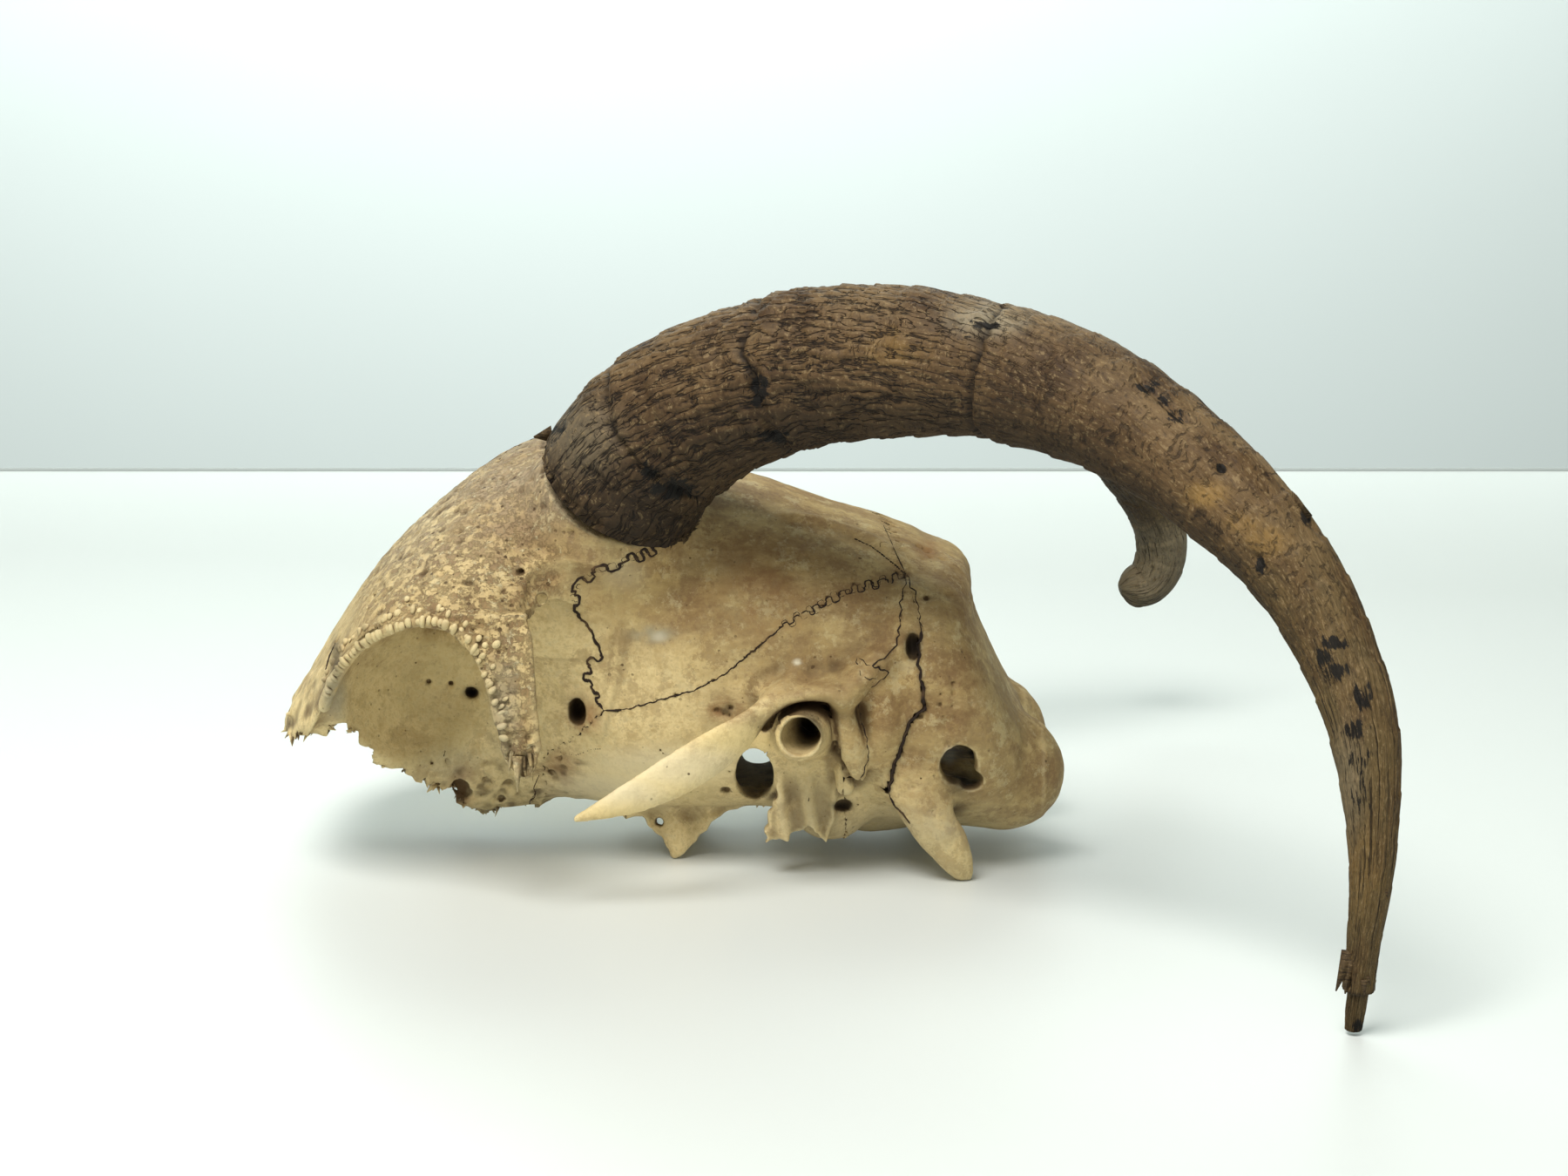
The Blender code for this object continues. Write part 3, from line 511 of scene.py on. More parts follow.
# The bar behind the socket, by height: front edge, rear edge, how far out, and thickness.
SOCKET_BAR = ((23.8, -44.6, -43.2, 51.4, 0.8), (25.4, -45.9, -41.9, 51.5, 1.8),
              (28.4, -46.8, -41.3, 51.6, 2.4), (31.4, -47.4, -41.5, 51.6, 2.8),
              (34.3, -47.9, -41.8, 51.4, 3.0), (38.3, -48.9, -42.1, 51.1, 3.2),
              (43.2, -50.8, -42.6, 50.2, 3.6), (47.2, -53.4, -43.0, 48.6, 4.2),
              (51.5, -57.0, -43.4, 46.4, 5.0))
LOWER_SPIKE = ((-47.0, 23.0, 14.6, 2.2), (-43.0, 23.6, 12.9, 1.3), (-39.2, 24.0, 12.6, 0.4))
FRONT_SPIKE = ((-82.0, 24.0, 33.5, 1.6), (-86.0, 22.0, 30.5, 1.2), (-90.0, 20.0, 28.2, 0.5))
BLADE = ((-36.0, 48.0, 16.0, 1.0, 1.4), (-30.0, 47.8, 18.4, 4.8, 2.0), (-22.0, 46.8, 21.8, 8.8, 2.4),
         (-14.0, 45.0, 25.8, 10.4, 2.8), (-7.0, 41.5, 29.6, 8.8, 3.4), (-1.5, 36.5, 34.2, 6.4, 5.0),
         (4.0, 29.0, 37.8, 7.0, 6.0))
TEMPLE = ((-40.0, 22.0, 50.0), (12.0, 7.5, 13.0))
BASE_SWELLING = ((16.0, 9.5, 11.0), (10.0, 8.0, 6.8))
EAR_BULB = ((8.5, 19.0, 14.5), (8.5, 8.0, 9.5))


def upright_axes(lean):
    """Three rows that turn an upright form so that it leans in a direction."""
    third = unit(lean)
    first = unit(np.cross((0.0, 1.0, 0.0), third))
    return first, np.cross(third, first), third


def flipped(place, side):
    return (place[0], side * place[1], place[2])


def blade(side):
    """The free end of the cheek arch, a thin leaf that leans back."""
    cut, x, y, z = side_window(side, (-40.0, 24.0, 10.0), (8.0, 56.0, 46.0))
    middle = smooth_table(BLADE, x)[1]
    across, middle, height, thickness = smooth_table(BLADE, x - 0.25 * (z - middle))
    rise, out = (z - middle) / (0.5 * height), (y * side - across) / (0.5 * thickness)
    reach = np.sqrt(np.abs(rise) ** 2.6 + out ** 2 + 1e-6) - 1.0
    return cut, np.maximum(true_distance(reach), BLADE[0][0] - x)


def socket_bar(side):
    """The flat bar that closes the socket behind, widening upwards into the forehead."""
    cut, x, y, z = side_window(side, (-62.0, 38.0, 20.0), (-36.0, 58.0, 55.0))
    front, rear, across, thickness = smooth_table(SOCKET_BAR, z)
    wide = (x - 0.5 * (front + rear)) / (0.5 * (rear - front))
    out = (y * side - across + 0.5 * (1.0 - np.clip(wide, -1.0, 1.0) ** 2)) / (0.5 * thickness)
    reach = (np.abs(wide) ** 4 + np.abs(out) ** 2.4 + 1e-6) ** 0.3 - 1.0
    return cut, np.maximum(true_distance(reach), outside(z, SOCKET_BAR[0][0], SOCKET_BAR[-1][0]))


for side in SIDES.values():
    add(horn_stump(side), 5.0)
    for (centre, radii), width in ((TEMPLE, 5.0), (BASE_SWELLING, 3.0), (EAR_BULB, 2.5)):
        add(egg(flipped(centre, side), radii), width)
    add(egg(flipped(CONDYLE, side), CONDYLE_RADII, upright_axes(flipped(CONDYLE_LEAN, side))), 2.5)
    add(rod(JUGULAR, side, flat=0.72), 3.0)
    add(rod(EAR_TUBE, side), 1.2)
    add(blade(side), 2.5)
    add(rod(TONGUE, side), 1.2)
    add(rod(EAR_PEG, side), 0.8)
add(rod([(x, -across, z, r) for x, across, z, r in NAPE_CREST[:0:-1]] + list(NAPE_CREST)), 4.0)
note("The forms on both sides stand")

# %% [markdown]
# ## The thin plates under the base
#
# Below each ear tube hangs a fluted plate with a ragged foot, and further forward the remains of
# the pterygoid bones, whose broken points the skull rests on. A thin plate is easiest as a
# side-view outline with a thickness. Its broken foot gets a jagged outline, and its flutes are
# waves in the place of its middle.

# %% Plates drawn as side-view outlines
EAR_PLATE = ((-0.2, 33.0), (9.4, 33.0), (9.3, 16.0), (8.9, 11.0))
EAR_PLATE_FOOT = ((8.2, 8.4), (7.4, 5.6), (6.8, 6.0), (6.2, 8.2), (3.6, 9.4), (1.4, 8.4), (0.6, 6.2),
                  (-0.1, 7.4), (-0.8, 5.8), (-1.6, 7.4), (-3.4, 5.4), (-3.2, 9.0), (-2.2, 13.0),
                  (-0.8, 17.4))
PTERYGOID_FRONT = ((-8.6, 11.2), (-7.0, 17.0), (-30.5, 17.0), (-31.4, 10.0))
PTERYGOID_FOOT = ((-31.0, 8.4), (-29.0, 7.4), (-26.6, 8.8), (-24.4, 5.2), (-22.6, 4.4), (-20.8, -0.4),
                  (-19.9, -0.6), (-18.2, 1.4), (-16.0, 3.4), (-13.4, 6.8), (-10.2, 9.2), (-8.8, 9.8))


def plate(outline, across, thickness, side, flutes=(0.0, 4.0)):
    """A thin upright plate; flutes are the depth and spacing of its waves."""
    corners = np.array(outline)
    low, high = corners.min(0) - 5.0, corners.max(0) + 5.0
    cut, x, y, z = side_window(side, (low[0], across - 8.0, low[1]), (high[0], across + 8.0, high[1]))
    flat = outline_distance([tuple(p) for p in outline], x, z)[:, None, :]
    middle = across + flutes[0] * np.sin(math.tau * (x + 0.15 * z) / flutes[1])
    depth = np.abs(y * side - middle) - 0.5 * thickness
    return cut, np.maximum(flat, depth)


for side in SIDES.values():
    foot = jagged(EAR_PLATE_FOOT, 0.8, 1.6, 11 + side)
    add(plate(EAR_PLATE + tuple(foot), 26.3, 3.0, side, flutes=(0.7, 5.2)), 1.6)
    foot = jagged(PTERYGOID_FOOT, 0.4, 1.5, 21 + side)
    add(plate(PTERYGOID_FRONT + tuple(foot), 14.2, 1.7, side, flutes=(0.5, 7.0)), 1.6)
note("The plates stand")

# %% [markdown]
# ## Hollows
#
# The eye sockets, the broken nose and the hole at the nape are hollows of the CAD too. The dressed
# skull is also a real shell: the braincase is empty and thin-walled, and so is the nose, because
# light that comes through the holes in the base shows it. Cutting the hollows after all the
# solid forms keeps every wall at its own thickness.

# %% Sockets, nose, braincase and the holes that lead into them
SOCKET = ((-61.5, 42.5, 30.5), (18.0, 27.5, 19.5))
NAPE_HOLE = ((44.0, 0.0, 19.0), (18.0, 10.0, 9.0))
# The hole in front of the ear. The far one reaches lower, so light from behind shows through both.
SIDE_HOLES = {-1: ((-5.2, 20.0, 19.4), (3.8, 15.0, 6.4)), 1: ((-5.0, 20.0, 16.6), (3.7, 15.0, 9.2))}
BRAIN_WALL, BRAIN_FLOOR, BRAIN_FRONT, BRAIN_REAR = 3.4, 13.5, -30.0, 38.0
NOSE_WALL, NOSE_DEPTH = 1.5, -66.0

sockets = {side: egg(flipped(SOCKET[0], side), SOCKET[1], margin=12.0) for side in SIDES.values()}


def brain_hollow():
    """The braincase's own form, drawn in by the thickness of its wall."""
    cut, values = braincase
    x, z = laid_along(0, AXES[0][cut[0]]), laid_along(2, AXES[2][cut[2]])
    hollow = np.maximum(values + BRAIN_WALL, BRAIN_FLOOR - z)
    return cut, np.maximum(hollow, outside(x, BRAIN_FRONT, BRAIN_REAR))


def nose_hollow():
    """The face's own form drawn in, kept clear of both sockets, with a wall down the middle."""
    cut, values = face
    x, y, z = [laid_along(k, AXES[k][cut[k]]) for k in range(3)]
    whole = np.full_like(FIELD, EMPTY)
    for socket_cut, socket in sockets.values():
        whole[socket_cut] = np.minimum(whole[socket_cut], socket)
    hollow = np.maximum(values + NOSE_WALL, NOSE_WALL - whole[cut])
    middle_wall = 0.45 - np.abs(y - 0.4 * np.sin(z / 5.0))
    hollow = np.maximum(hollow, np.where(x > -84.0, middle_wall, -EMPTY))
    scroll = np.sqrt((np.abs(y) - 7.0) ** 2 + (z - 26.0) ** 2)
    turn = np.arctan2(z - 26.0, np.abs(y) - 7.0)
    curl = 0.5 - np.abs((scroll + 0.9 * turn) % 4.6 - 2.3)
    hollow = np.maximum(hollow, np.where((x > -76.0) & (scroll < 7.0), curl, -EMPTY))
    return cut, np.maximum(hollow, x - NOSE_DEPTH)


carve(brain_hollow(), 0.6)
carve(nose_hollow(), 0.6)
carve(egg(*NAPE_HOLE), 1.5)
for side in SIDES.values():
    carve(sockets[side], 1.2)
    carve(egg(flipped(SIDE_HOLES[side][0], side), SIDE_HOLES[side][1]), 0.8)
    carve(sheath_space(side), 0.3)
    add(socket_bar(side), 2.0)
    add(rod(SOCKET_RIM, side), 0.9)
    add(rod(LOWER_SPIKE, side, flat=0.7), 0.8)
add(rod(FRONT_SPIKE, -1, flat=0.8), 0.8)
note("The hollows are cut")

# %% [markdown]
# ## Marks placed by the photograph
#
# Small holes, ridges and pits are set where the photograph shows them. A ray from the camera
# through a pixel meets the skull's near side, and the mark goes there. It is then mirrored to the
# far side, because a skull has the same holes on both sides.

# %% Find the skull under a pixel of the photograph
def field_at(points, grid=None):
    """The field's value at any points, filled in between the grid's own."""
    grid = FIELD if grid is None else grid
    place = (points - np.array(LOWEST)) / STEP
    limit = np.array(grid.shape) - 2
    whole = np.clip(np.floor(place).astype(int), 0, limit)
    return blended(grid, whole, np.clip(place - whole, 0.0, 1.0))


def under_pixel(across, down):
    """The first point of the skull behind a pixel of the photograph."""
    way = AHEAD + RIGHTWARDS * (across - PHOTO_WIDE / 2) / FOCAL + UPWARDS * (PHOTO_HIGH / 2 - down) / FOCAL
    depths = np.arange(385.0, 520.0, 0.2)
    points = EYE + depths[:, None] * way
    inside = np.nonzero(field_at(points) < 0.0)[0]
    return points[inside[0]] if len(inside) else None


def met_by(pixels):
    """The skull's points under several pixels, without those that miss it."""
    return [point for point in (under_pixel(*pixel) for pixel in pixels) if point is not None]


# %% Ridges, peg and crest lines
def along_pixels(line, radius, sink=0.0):
    """Stations on the skull's surface along pixels of the photograph, as far as they lie on one form."""
    points = met_by(line)
    depth = np.median([point[1] for point in points])
    return [(x, y + sink, z, radius) for x, y, z in points if abs(y - depth) < 8.0]


TEMPLE_LINE = ((905, 594), (940, 600), (981, 613), (1012, 628), (1036, 650))
EAR_RIDGE = ((968, 800), (1000, 775), (1020, 752), (1034, 715), (1042, 680))
BROW_LINE = ((592, 690), (598, 664), (625, 646), (660, 640), (690, 650))
BAR_EDGE = ((594, 690), (604, 730), (608, 780), (611, 826), (615, 858))
SOCKET_FOLD = ((640, 776), (653, 792), (668, 815), (684, 838))
for line, radius, sink, width in ((TEMPLE_LINE, 1.0, 0.5, 1.6), (EAR_RIDGE, 1.5, 0.4, 2.4),
                                  (BROW_LINE, 1.1, 0.6, 1.8), (BAR_EDGE, 1.0, 0.3, 0.9),
                                  (SOCKET_FOLD, 0.9, 0.4, 1.2)):
    stations = along_pixels(line, radius, sink)
    for side in (1, -1):
        add(rod(stations, side), width)
# The cheek arch's root runs on over the ear and into the crest behind it.
ARCH_ROOT = ((-2.9, -39.5, 33.2, 1.4), (-0.7, -39.2, 34.6, 1.2), (2.3, -38.8, 35.4, 1.1),
             (5.3, -38.2, 35.7, 1.2), (8.2, -37.6, 35.6, 1.5), (10.4, -36.8, 35.0, 2.0),
             (13.0, -36.0, 37.8, 2.1), (16.5, -34.6, 41.2, 1.8))
BEHIND_TONGUE = ((16.0, -32.0, 38.5, 2.4), (17.2, -32.6, 33.0, 3.1), (17.5, -32.2, 28.0, 3.2),
                 (16.8, -31.0, 23.5, 2.4))
for side in (1, -1):
    for inward in (0.0, 2.4, 4.8, 7.2):
        add(rod([(x, y + inward, z + 0.25 * inward, r) for x, y, z, r in ARCH_ROOT], side), 2.0)
    add(rod(BEHIND_TONGUE, side), 2.5)

# %% Holes and pits
# Name: pixels across and down, then half sizes in mm along x, into the bone and along z.
HOLES = {"brow hole": (622, 687, 0.9, 2.5, 0.8), "upper brow hole": (597, 657, 0.8, 2.0, 0.7),
         "socket hole": (541, 795, 1.3, 3.0, 1.0), "optic hole": (662, 818, 1.7, 7.0, 2.6),
         "first pit": (492, 783, 0.6, 1.2, 0.6), "second pit": (517, 784, 0.6, 1.2, 0.6),
         "forehead pit": (655, 611, 0.7, 1.0, 0.6), "base hole": (757, 944, 0.9, 2.0, 0.8),
         "second base hole": (833, 908, 1.0, 2.0, 0.9), "socket floor hole": (528, 906, 2.0, 4.0, 2.3),
         "under the peg": (968, 925, 1.7, 2.4, 1.1), "nape hole": (1048, 742, 1.1, 3.0, 2.3),
         "hole beside the knuckle": (1101, 880, 3.3, 8.0, 4.0),
         "its lower corner": (1115, 897, 2.0, 7.0, 1.9)}
# Patches of small pits: the middle across and down, the spread, how many and their half size in mm.
PIT_PATCHES = ((640, 884, 16, 9, 14, 0.6), (1092, 806, 14, 20, 24, 0.5), (508, 882, 14, 9, 12, 0.55),
               (588, 905, 20, 8, 14, 0.5), (1076, 735, 14, 50, 14, 0.5), (1048, 900, 14, 10, 12, 0.45),
               (832, 816, 9, 3, 6, 0.7), (998, 772, 8, 5, 6, 0.6), (1062, 636, 8, 10, 10, 0.6),
               (420, 880, 60, 12, 14, 0.5), (1015, 720, 60, 60, 16, 0.35), (800, 700, 70, 50, 16, 0.3))
found = {name: under_pixel(*mark[:2]) for name, mark in HOLES.items()}
for name, (_, _, *sizes) in HOLES.items():
    for side in (1, -1):
        carve(egg(flipped(found[name], side), sizes), 0.4)
rng = np.random.default_rng(6)
for u, v, wide, high, count, size in PIT_PATCHES:
    for _ in range(count):
        pit, half = under_pixel(rng.normal(u, wide), rng.normal(v, high)), size * rng.uniform(0.4, 1.1)
        if pit is not None:
            for side in (1, -1):
                radii = (half * rng.uniform(0.7, 1.4), half * 1.6, half)
                carve(egg(flipped(pit, side), radii, margin=2.0), 0.25)

# %% The ear opening
EAR_BORE = ((2.8, 43.0, 29.0, 3.35), (2.9, 40.6, 29.0, 3.25), (3.8, 37.0, 29.2, 2.9),
            (4.8, 33.0, 29.4, 2.4), (5.4, 26.0, 29.0, 1.8))
# The arched gap between the ear tube and the root of the cheek arch: x, z and half width.
EAR_ARCH = ((-3.4, 28.6, 1.1), (-1.8, 31.4, 0.9), (0.8, 33.3, 0.7), (3.6, 34.1, 0.55), (6.4, 33.6, 0.5),
            (8.0, 31.8, 0.5), (8.6, 29.0, 0.5), (9.0, 26.0, 0.45), (9.6, 22.6, 0.4))
GAP_INNER, GAP_OUTER = 30.5, 37.5
for side in SIDES.values():
    x, z = EAR_AXIS
    lip = [(x + 3.6 * math.cos(a), EAR_LIP, z + 3.7 * math.sin(a), 0.5 + 0.15 * math.cos(a - 3.9))
           for a in np.linspace(0.0, math.tau, 13)]
    add(rod(lip, side), 0.8)
    carve(rod(EAR_BORE, side), 0.4)
    for share in np.linspace(0.0, 1.6, 9):
        across = GAP_INNER + (GAP_OUTER - GAP_INNER) * share
        carve(rod([(x, across, z, half) for x, z, half in EAR_ARCH], side), 0.3)
note("The marks are cut")

# %% [markdown]
# ## Rough and porous places
#
# The rim of the socket is beaded, the process behind it is full of pores, and the nape is rough
# where muscles held on. These places get lumps and small pits in the field itself, so that they
# show in the outline and catch the light. The rest is left to the material.

# %% Pits on the forehead, pores in the bar behind the socket, and a rough nape
FOREHEAD_PITS, BAR_PORES = 70, 150
BAR_BREAKS = ((-44.2, 25.6, 0.9, 2.6), (-42.6, 27.4, 0.5, 1.6), (-45.8, 24.6, 0.6, 1.2))
rng = np.random.default_rng(7)
for side in SIDES.values():
    x, y = rng.uniform(-84.0, -34.0, FOREHEAD_PITS), side * rng.uniform(8.0, 44.0, FOREHEAD_PITS)
    height = np.arange(84.0, 30.0, -0.4)
    rows = np.stack(np.broadcast_arrays(x[:, None], y[:, None], height[None, :]), 2)
    inside = field_at(rows) < 0.0
    for pit, met in zip(rows[np.arange(FOREHEAD_PITS), inside.argmax(1)], inside.any(1)):
        size = 0.3 + 0.5 * rng.random() ** 2
        if met:
            carve(egg(pit, (size, size, size * 1.3), margin=2.0), 0.3)
    for _ in range(BAR_PORES):
        z = rng.uniform(24.0, 50.0)
        front, rear, across, thickness = [float(v[0]) for v in smooth_table(SOCKET_BAR, np.array([z]))]
        x = rng.uniform(front + 0.3, min(rear, front + 5.0))
        size = rng.uniform(0.3, 0.62)
        pit = (x, side * (across + 0.5 * thickness - 0.25), z)
        carve(egg(pit, (size, size * 1.7, size), margin=2.0), 0.2)
    # The lower end of the bar is broken open.
    for x, z, wide, high in BAR_BREAKS:
        carve(egg((x, side * 52.2, z), (wide, 1.4, high), margin=2.0), 0.2)


def roughen(low, high, size, depth, seed, centre, reach):
    """Lumps added to the field, strongest at a centre and gone at a reach from it."""
    cut, x, y, z = window(low, high)
    away = np.sqrt(sum(((p - c) / r) ** 2 for p, c, r in zip((x, y, z), centre, reach)))
    strength = np.clip(1.2 - away, 0.0, 1.0)
    FIELD[cut] += depth * strength * lumps_in((x, y, z), size, seed)


roughen((14.0, -40.0, 30.0), (46.0, 40.0, 66.0), 2.2, 0.5, 31, (30.0, 0.0, 50.0), (10.0, 36.0, 8.0))
roughen((14.0, -40.0, -2.0), (44.0, 40.0, 40.0), 1.6, 0.3, 32, (28.0, 0.0, 18.0), (14.0, 40.0, 20.0))
roughen((-98.0, -60.0, 0.0), (-70.0, 60.0, 60.0), 2.4, 0.5, 33, (-90.0, 0.0, 28.0), (14.0, 60.0, 26.0))
roughen((-72.0, -60.0, -2.0), (-30.0, 60.0, 22.0), 2.3, 0.75, 34, (-54.0, 0.0, 8.0), (20.0, 60.0, 12.0))
roughen((-72.0, -60.0, -2.0), (-30.0, 60.0, 24.0), 1.3, 0.45, 35, (-52.0, 0.0, 9.0), (18.0, 60.0, 11.0))
roughen((-50.0, -40.0, 8.0), (-28.0, 40.0, 30.0), 1.5, 0.6, 36, (-41.0, 0.0, 19.0), (8.0, 50.0, 4.0))

# %% [markdown]
# ## The table
#
# The points that touch the table were worn or broken flat, so the field ends at the table.

# %% End the field at the table
TABLE_CLEARANCE = 0.05
FIELD = np.maximum(FIELD, TABLE_CLEARANCE - laid_along(2, AXES[2]))
note("The skull's field is whole")

# %% [markdown]
# ## Sutures
#
# The bones of a skull meet in sutures. In a goat they loop finely where the bones take strain, at
# the crown, and run smoothly where one bone overlaps the next, above the ear. Drawing them as
# dark lines would be quick, but they would vanish from the edge. So each bone is cut from the
# field along looped side-view lines that neighbours share, and stays a piece of its own.

# %% The lines that bound the bones, in the side view
# The crown suture changes its habit on the way: points, how far its loops reach, and their pitch.
CORONAL_RUNS = ((((-12.0, 96.0), (-14.5, 74.0)), 0.0, 8.0),
                (((-14.5, 74.0), (-18.5, 64.5), (-23.0, 60.2), (-28.2, 58.2)), 2.0, 1.5),
                (((-28.2, 58.2), (-33.5, 56.6), (-36.3, 53.1), (-36.7, 49.4)), 1.1, 2.8),
                (((-36.7, 49.4), (-34.2, 46.0), (-32.3, 41.0)), 0.2, 1.4),
                (((-32.3, 41.0), (-34.9, 38.4), (-35.2, 36.2), (-33.8, 33.8)), 1.3, 1.7),
                (((-33.8, 33.8), (-32.2, 30.6)), 0.7, 1.3))
CORONAL = CORONAL_RUNS[0][0] + tuple(p for run in CORONAL_RUNS[1:] for p in run[0][1:])
FRONTAL_FOOT = ((-37.0, 25.5), (-43.0, 21.0), (-47.0, 9.0))
BROKEN_FACE = ((-50.1, 8.8), (-53.0, 8.6), (-57.4, 6.6), (-60.5, 9.4), (-62.0, 13.6), (-66.0, 14.0),
               (-69.5, 19.3), (-73.1, 19.2), (-75.0, 24.5), (-78.8, 29.6), (-83.0, 25.4), (-86.0, 27.4),
               (-88.0, 24.6), (-94.5, 24.6))
SQUAMOSAL = ((-29.0, 30.8), (-15.5, 35.2), (-10.4, 38.1), (-0.3, 46.6), (3.0, 48.4))
SQUAMOSAL_REAR = ((9.9, 51.8), (21.6, 54.8))
SQUAMA_FOOT = ((-20.0, 21.5), (-8.0, 19.5))
MASTOID_FRONT = ((20.4, 47.6), (19.4, 43.0), (15.0, 40.6), (18.6, 39.0), (15.0, 36.4), (12.9, 33.6),
                 (13.3, 30.6), (14.4, 27.6), (14.8, 24.4), (14.4, 21.6), (13.4, 19.4))
MASTOID_BACK = ((24.0, 46.3), (23.3, 41.0), (24.2, 36.6), (24.6, 32.6), (21.8, 29.6), (20.7, 25.4),
                (19.4, 21.6), (18.5, 16.5))
NAPE_TOP = ((17.5, 63.0), (16.5, 96.0))
EAR_REAR = ((11.2, 9.0), (10.4, 19.4), (9.9, 27.0), (8.6, 31.2), (5.6, 33.5))
EAR_FRONT = ((2.4, 33.7), (-0.8, 31.6), (-2.2, 28.0), (-2.8, 24.0), (-5.0, 15.0))
FAR, DEEP = 150.0, -5.0
CLOSED_GAP = -0.01
OPEN_DEPTH = 2.0
# How far a crack stands open on each side, in mm, and the width over which that holds.
OPEN_SUTURES = ((MASTOID_BACK[:3], 0.10, 1.0), (MASTOID_BACK[2:], 0.36, 1.0))

coronal = [p for k, run in enumerate(CORONAL_RUNS) for p in knitted(*run, 41 + 10 * k)[min(k, 1):]]
squamosal = knitted(SQUAMOSAL[:4], 0.12, 1.3, 42) + knitted(SQUAMOSAL[3:], 0.45, 1.3, 48)[1:]
squamosal_rear = knitted(SQUAMOSAL[-1:] + SQUAMOSAL_REAR, 0.9, 1.4, 43)[1:]
mastoid_front = jagged(MASTOID_FRONT, 0.25, 1.0, 44)
mastoid_back = jagged(MASTOID_BACK, 0.3, 1.3, 45)
broken_face = jagged(BROKEN_FACE, 0.9, 2.1, 46)
frontal_foot = knitted(CORONAL[-1:] + FRONTAL_FOOT, 0.4, 1.6, 47)[1:]
nape_top, squama_foot, ear_rear, ear_front = map(list, (NAPE_TOP, SQUAMA_FOOT, EAR_REAR, EAR_FRONT))
print("The crown suture has", len(coronal), "points, the broken edge", len(broken_face))

# %% Waves of the sutures that are seen from above
def waves(along, swing, pitch, seed, teeth=200):
    """Rounded teeth along a line, for sutures that cross the top of the skull."""
    rng = np.random.default_rng(seed)
    knots = np.cumsum(rng.uniform(0.6, 1.4, teeth) * pitch) - 130.0
    heights = rng.uniform(0.4, 1.0, teeth) * swing * np.where(np.arange(teeth) % 2, 1.0, -1.0)
    k = np.clip(np.searchsorted(knots, along) - 1, 0, teeth - 2)
    t = (along - knots[k]) / (knots[k + 1] - knots[k])
    t = eased(np.clip((t - 0.5) * 1.7 + 0.5, 0.0, 1.0))
    return (heights[k] * (1.0 - t) + heights[k + 1] * t).astype(np.float32)


def sway_of(across):
    """How far a suture that crosses the top leaves its side-view line, forwards, by the y value."""
    fade = np.clip((24.0 - np.abs(across)) / 8.0, 0.0, 1.0)
    return (waves(across, 1.3, 1.5, 51) + 1.2 * np.sin(across / 7.0)) * fade


def middle_wave(x, z):
    """Where the suture between the two forehead bones lies, across the skull."""
    return waves(x, 0.7, 1.3, 52) * np.clip((z - 30.0) / 20.0, 0.0, 1.0)


def region(outline, part):
    """A side-view outline drawn across the skull, waving where it is seen from above."""
    x, y, z = part
    margin = 8
    wide_x = np.concatenate((x.ravel()[0] - STEP * np.arange(margin, 0, -1), x.ravel(),
                             x.ravel()[-1] + STEP * np.arange(1, margin + 1)))
    flat = outline_distance([tuple(p) for p in outline], wide_x, z)
    across = y.ravel()
    place = np.arange(x.size)[:, None] + margin + sway_of(across)[None, :] / STEP
    whole = np.floor(place).astype(int)
    share = (place - whole)[..., None].astype(np.float32)
    return flat[whole] * (1.0 - share) + flat[whole + 1] * share


def openness(x, z):
    """How far the sutures stand open over the side view, in mm."""
    most = np.zeros(np.broadcast(x, z).shape, np.float32)
    for line, gap, width in OPEN_SUTURES:
        most = np.maximum(most, gap * np.exp(-(line_distance(line, x, z) / width) ** 2))
    return most


# %% Which share of the field each bone takes
EAR_LOW, FACE_LOW = [(11.2, DEEP)], [(-47.0, DEEP)]
PTERYGOID_BOX = [(-7.8, 10.8), (-31.0, 10.8), (-31.0, DEEP)]
ARCH_SPACE = [(-40.0, 10.0), (-40.0, 22.0), (-6.0, 40.0), (2.4, 46.0), (4.0, 42.0)]
EAR_SPACE = [(-6.0, 4.0), (10.0, 3.0)]
nose_end = [(-94.5, 24.6), (-FAR, 24.6), (-FAR, 96.0)]
rear = nape_top + [(FAR, 96.0), (FAR, DEEP)]
top = squamosal[-1:] + squamosal_rear[1:]
foot = FACE_LOW + frontal_foot[::-1]
notch = [(-5.0, DEEP), (-7.8, DEEP)] + PTERYGOID_BOX
